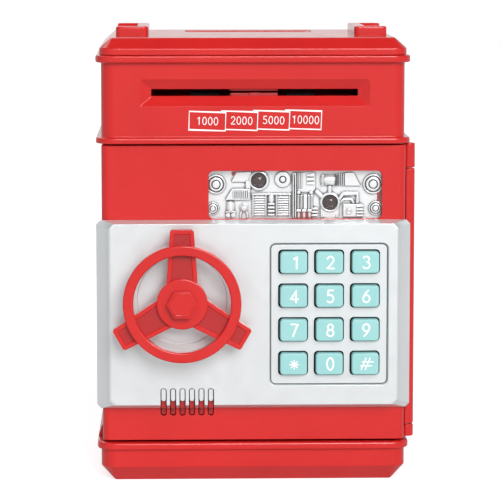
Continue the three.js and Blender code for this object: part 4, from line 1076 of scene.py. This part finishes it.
def hand_wheel():
    front = box("hand_wheel")[0].y
    deck = front + 2.6
    wheel = lathe("hand_wheel_moulding", [
        (20, front + 4.8, 0.6), (24.3, front + 4.8, 0.6), (24.3, front, 0.8), (20, front, 0.8),
    ], HUB, ring=True, steps=96, soft=6)
    disc = lathe("disc", [
        (0, front + 8), (10.5, front + 8, 0.6), (10.5, front + 1.2, 0.6), (0, front + 1.2),
    ], HUB, steps=64)
    boss = lathe("boss", [
        (0, front + 7.8), (7, front + 7.8), (7, front + 12.6, 0.4), (0, front + 12.6),
    ], HUB)
    spokes, panel_shades = [], []
    for number in range(3):
        angle = number * 2 * math.pi / 3
        panel = spoke_outline(angle, 4.65, 3.2, 8.5, 28.7)
        spoke = slab("spoke", spoke_outline(angle, 6.4, 4.9, 8, 30.4, 0.7), [
            (0.3, front + 7), (0, front + 6.7), (0, deck, 0.3), (0.5, deck),
        ])
        spokes.append(cut(spoke, slab("panel", panel, [
            (0.25, deck + 0.5), (-0.15, deck - 0.02), (-0.15, deck - 2),
        ])))
        # a darker red plate in each sunken spoke panel: painted shade
        panel_shades.append(plate("panel_shade", panel, deck + 0.9, deck + 0.42, 0.05))
    wheel = cut(join(wheel, disc, boss, *spokes), rod("bore", 3.3, front + 4.2, front + 20, HUB))
    place(wheel, "hand_wheel", RED, "hand_wheel")
    place(gather("hand_wheel_panel_shades", panel_shades), "hand_wheel", RED, look=SHADE_AND_DEEP_RED)


def hub_cap():
    low, high = box("hub_cap")
    hexagon = sided(circle(*HUB, (high.x - low.x) / 2, 6))
    body = slab("hub_cap_hexagon", hexagon, [
        (0, high.y), (0, low.y + 0.4, 0.2), (0.75, low.y + 0.3), (0.95, low.y, 0.1), (1.3, low.y, 0.1),
        (1.5, low.y + 0.12),
    ])
    place(body, "hand_wheel", RED, "hub_cap", edge=0.15, angle=28)


# ---- keys
def key_cap(label):
    """A skirt in painted-shade black, a mint cap set a little to the upper left in it, and the numeral."""
    node = "key_" + label
    low, high = box(node)
    skirt = slab(node + "_skirt", oblong(low.x, high.x, low.z, high.z, 1.2), [
        (0, high.y), (0, high.y - 1, 0.2), (1, high.y - 1),
    ])
    # the black skirt is painted shade in the gap round the cap
    place(skirt, node, "black_plastic", look=SHADE_BLACK)
    x, z = (low.x + high.x) / 2 + 0.14, (low.z + high.z) / 2 - 0.12
    cap = slab(node + "_cap", around(x, z, 5.68, 4.58, 1.5), [
        (0, high.y - 0.8), (0.1, low.y, 0.75), (1.5, low.y),
    ], steps=6)
    place(cap, node, "mint_plastic", node)
    height = 5
    wide = {"1": 0.35, "star": 0.62, "hash": 1.05}.get(label, 0.6)
    weight = {"star": 0.5, "hash": 0.52}.get(label, 0.7)
    corner = (x - wide * height / 2 + 0.3, z - height / 2 + 0.1)
    strokes = numeral(label, corner, height, low.y - 0.01, weight)
    place(gather(node + "_print", strokes), node, "mint_plastic", look=INK)


# ---- back of the door, hatch and fasteners
def screw_head(name, spot, face, radius, body, *nodes, length=4):
    """A pan-head screw along Y, its head standing proud of face towards +Y."""
    shank = radius * 0.42
    head = lathe(name, [
        (0, face - length), (shank, face - length, 0.2), (shank, face - 0.05), (radius, face, 0.1),
        (radius, face + 0.5, 0.3), (radius * 0.6, face + 1.05, 0.3), (0, face + 1.15),
    ], spot, steps=32)
    long, narrow = radius * 0.62, 0.32
    arms = [
        brick("arm", (spot[0] - u, face + 0.35, spot[1] - v), (spot[0] + u, face + 2, spot[1] + v), 0.05)
        for u, v in ((long, narrow), (narrow, long))
    ]
    place(cut(head, *arms), body, "steel", *nodes)


def grip_groove(outline, face, inner, floor):
    """A cutter for a shallow groove in a face that looks backwards."""
    return slab("groove", outline, [
        (inner, face - floor), (0, face - 0.4), (-0.2, face + 0.02), (-0.2, face + 2),
    ])


DOOR_SCREWS = [(x, z) for x in (-56, 52.5) for z in (26, 79, 133)]


def door_back_cover():
    low, high = box("door_back_cover")
    face, back = DOOR_HIGH.y, high.y
    left, right, bottom, top = -52, 48, 24, 135
    rim = brick("door_back_moulding", tuple(low), (high.x, face, high.z), 0.4)
    tub = slab("tub", oblong(left, right, bottom, top, 3), [(0, face - 2), (0, back, 1.2), (3, back)])
    bolt_low, bolt_high = box("latch_bolt")
    cutters = [
        brick("room", (left + 2, -47, bottom + 2), (right - 2, back - 2, top - 2), 0.8),
        brick("bolt_way", (left - 5, bolt_low.y - 0.4, 82.1),
              (left + 5, bolt_high.y + 0.4, bolt_high.z + 0.4), 0.1),
    ]
    cutters += [rod("well", 1.5, -46, -38, spot) for spot in DOOR_SCREWS]
    for number in range(7):
        z = bottom + 14 + number * 13.8
        cutters.append(grip_groove(oblong(left + 12, right - 12, z, z + 1.6, 0.7), back, 0.5, 0.5))
    place(cut(join(rim, tub), *cutters), "door", RED, "door_back_cover")
    for number, spot in enumerate(DOOR_SCREWS):
        screw_head(f"door_screw_{number + 1}", spot, face, 2.4, "door")


def battery_cover():
    low, high = box("battery_cover")
    cover = slab("battery_cover_moulding", oblong(low.x, high.x, low.z, high.z, 1), [
        (0, low.y), (0, high.y, 0.3), (1, high.y),
    ])
    spot = middle("cover_screw").xz
    cutters = [rod("well", 1.6, high.y - 3, high.y + 1, spot)]
    for bar in range(5):
        z = low.z + 8.9 + 3 * bar
        cutters.append(grip_groove(oblong(-9, 9, z, z + 1.2, 0.55), high.y, 0.2, 0.6))
    place(cut(cover, *cutters), "battery_cover", RED, "battery_cover")
    screw_head("cover_screw_steel", spot, high.y + 0.1, 2.7, "battery_cover", "cover_screw", length=1)


def battery_cells():
    for number in range(1, 4):
        node = f"battery_cell_{number}"
        low, high = box(node)
        spot = (low + high) / 2
        radius = (high.z - low.z) / 2
        sign = 1 if high.x > -low.x else -1
        end = max(high.x, -low.x)
        profile = [
            (0, 1 - end), (radius - 1.6, 1 - end, 0.1), (radius - 1.2, 1.4 - end, 0.1),
            (radius, 1.4 - end, 0.4), (radius, end - 1.2, 0.5), (radius - 1.4, end - 1.1, 0.2),
            (2.7, end - 1.15, 0.1), (2.6, end, 0.3), (0, end),
        ]
        profile = [(wide, sign * along, *corner) for wide, along, *corner in profile]
        place(lathe(node + "_body", profile, (spot.y, spot.z), "X"), "case", "cell_jacket", node)


# ---- pieces that keep their CAD shape
def carried_over():
    """Gives every CAD node that still shows its procedural material and softly rounded edges."""
    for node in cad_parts.values():
        if node.hide_render:
            continue
        look = LOOKS[node.data.materials[0].name.split(".")[0]]
        node.data.materials.clear()
        node.data.materials.append(look)
        round_edges(node, 0.15, 40)


# ---- stage, light and camera
def stage():
    half = 4000
    corners = [(-half, -half, 0), (half, -half, 0), (half, half, 0), (-half, half, 0)]
    floor = solid("pale_floor", corners, [(0, 1, 2, 3)])
    floor.location.z = -0.0001
    graph = Graph("pale_floor_paint")
    graph.feed("Base Color", graph.blend(graph.noise(9, 3), (0.6, 0.6, 0.6), (0.58, 0.58, 0.585)))
    graph.roughness(0.7, 0.05)
    seen = graph.add("ShaderNodeLightPath").outputs["Is Camera Ray"]
    graph.feed("Emission Strength", graph.spread(seen, 0, 1, 0.15, 0.7))
    graph.set(Emission_Color=(1, 1, 1, 1), Specular_IOR_Level=0.1)
    graph.bumps(graph.noise(300, 3), 0.05, 0.0002)
    floor.data.materials.append(graph.material)


def direction(azimuth, elevation):
    """Azimuth 0 is the front and 90 the right, in degrees."""
    turn, rise = math.radians(azimuth), math.radians(elevation)
    return Vector((math.sin(turn) * math.cos(rise), -math.cos(turn) * math.cos(rise), math.sin(rise)))


def sun(name, azimuth, elevation, strength, angle):
    """A soft directional light from a direction in degrees."""
    light = bpy.data.lights.new(name, "SUN")
    light.energy = strength
    light.angle = math.radians(angle)
    lamp = put(name, light)
    source = direction(azimuth, elevation)
    lamp.rotation_mode = "QUATERNION"
    lamp.rotation_quaternion = source.to_track_quat("Z", "Y")
    lamp.location = source * 2


def lighting():
    """A white room, dimmer at its sides and ceiling; lights in front, behind and for the edges."""
    world = bpy.data.worlds.new("studio")
    bpy.context.scene.world = world
    world.use_nodes = True
    nodes, links = world.node_tree.nodes, world.node_tree.links

    def figure(operation, *values):
        node = nodes.new("ShaderNodeMath")
        node.operation = operation
        for socket, value in zip(node.inputs, values):
            if isinstance(value, (int, float)):
                socket.default_value = value
            else:
                links.new(value, socket)
        return node.outputs[0]

    split = nodes.new("ShaderNodeSeparateXYZ")
    links.new(nodes.new("ShaderNodeTexCoord").outputs["Generated"], split.inputs["Vector"])
    facing = figure("ABSOLUTE", split.outputs["Y"])
    rising = figure("MAXIMUM", split.outputs["Z"], 0)

    def room_light(gain, base, ceiling):
        walls = figure("MULTIPLY_ADD", facing, gain, base)
        return figure("MULTIPLY", walls, figure("MULTIPLY_ADD", rising, ceiling, 1))

    rays = nodes.new("ShaderNodeLightPath")
    diffuse, seen = rays.outputs["Is Diffuse Ray"], rays.outputs["Is Camera Ray"]
    room = figure("MULTIPLY", room_light(0.52, 0.38, -0.75), figure("SUBTRACT", 1, diffuse))
    room = figure("ADD", room, figure("MULTIPLY", room_light(0.35, 0.15, -0.5), diffuse))
    room = figure("MULTIPLY", room, figure("SUBTRACT", 1, seen))
    background = nodes["Background"]
    background.inputs["Color"].default_value = (1, 1, 1, 1)
    links.new(figure("ADD", room, seen), background.inputs["Strength"])
    sun("key_light", 14, 26, 2.5, 30)
    sun("back_light", 200, 52, 0.8, 40)
    sun("edge_light", 42, 38, 0.35, 9)
    sun("edge_light_left", -42, 38, 0.2, 9)
    bpy.context.scene.view_settings.view_transform = "Standard"


def camera():
    """Slightly left of the middle and a little above it, looking at the centre of the front."""
    lens = bpy.data.cameras.new("camera")
    lens.lens = 190.6
    lens.sensor_width = 36
    lens.clip_start = 0.05
    lens.clip_end = 50
    made = put("camera", lens)
    target = Vector((-0.0014, FRONT * MM, 0.0977))
    back = direction(-1.6, 6.8)
    made.location = target + back * 1.1
    made.rotation_mode = "QUATERNION"
    made.rotation_quaternion = (-back).to_track_quat("-Z", "Y")
    bpy.context.scene.camera = made


camera()
stage()
lighting()
base_tray()
case_shell()
head_shell()
top_lid()
note_prints()
door_panel()
silver_fascia()
hinge_leaf()
hinge_bracket()
relief_plate()
lamps()
hand_wheel()
hub_cap()
for each_label in KEY_LABELS:
    key_cap(each_label)
door_back_cover()
battery_cover()
battery_cells()
carried_over()
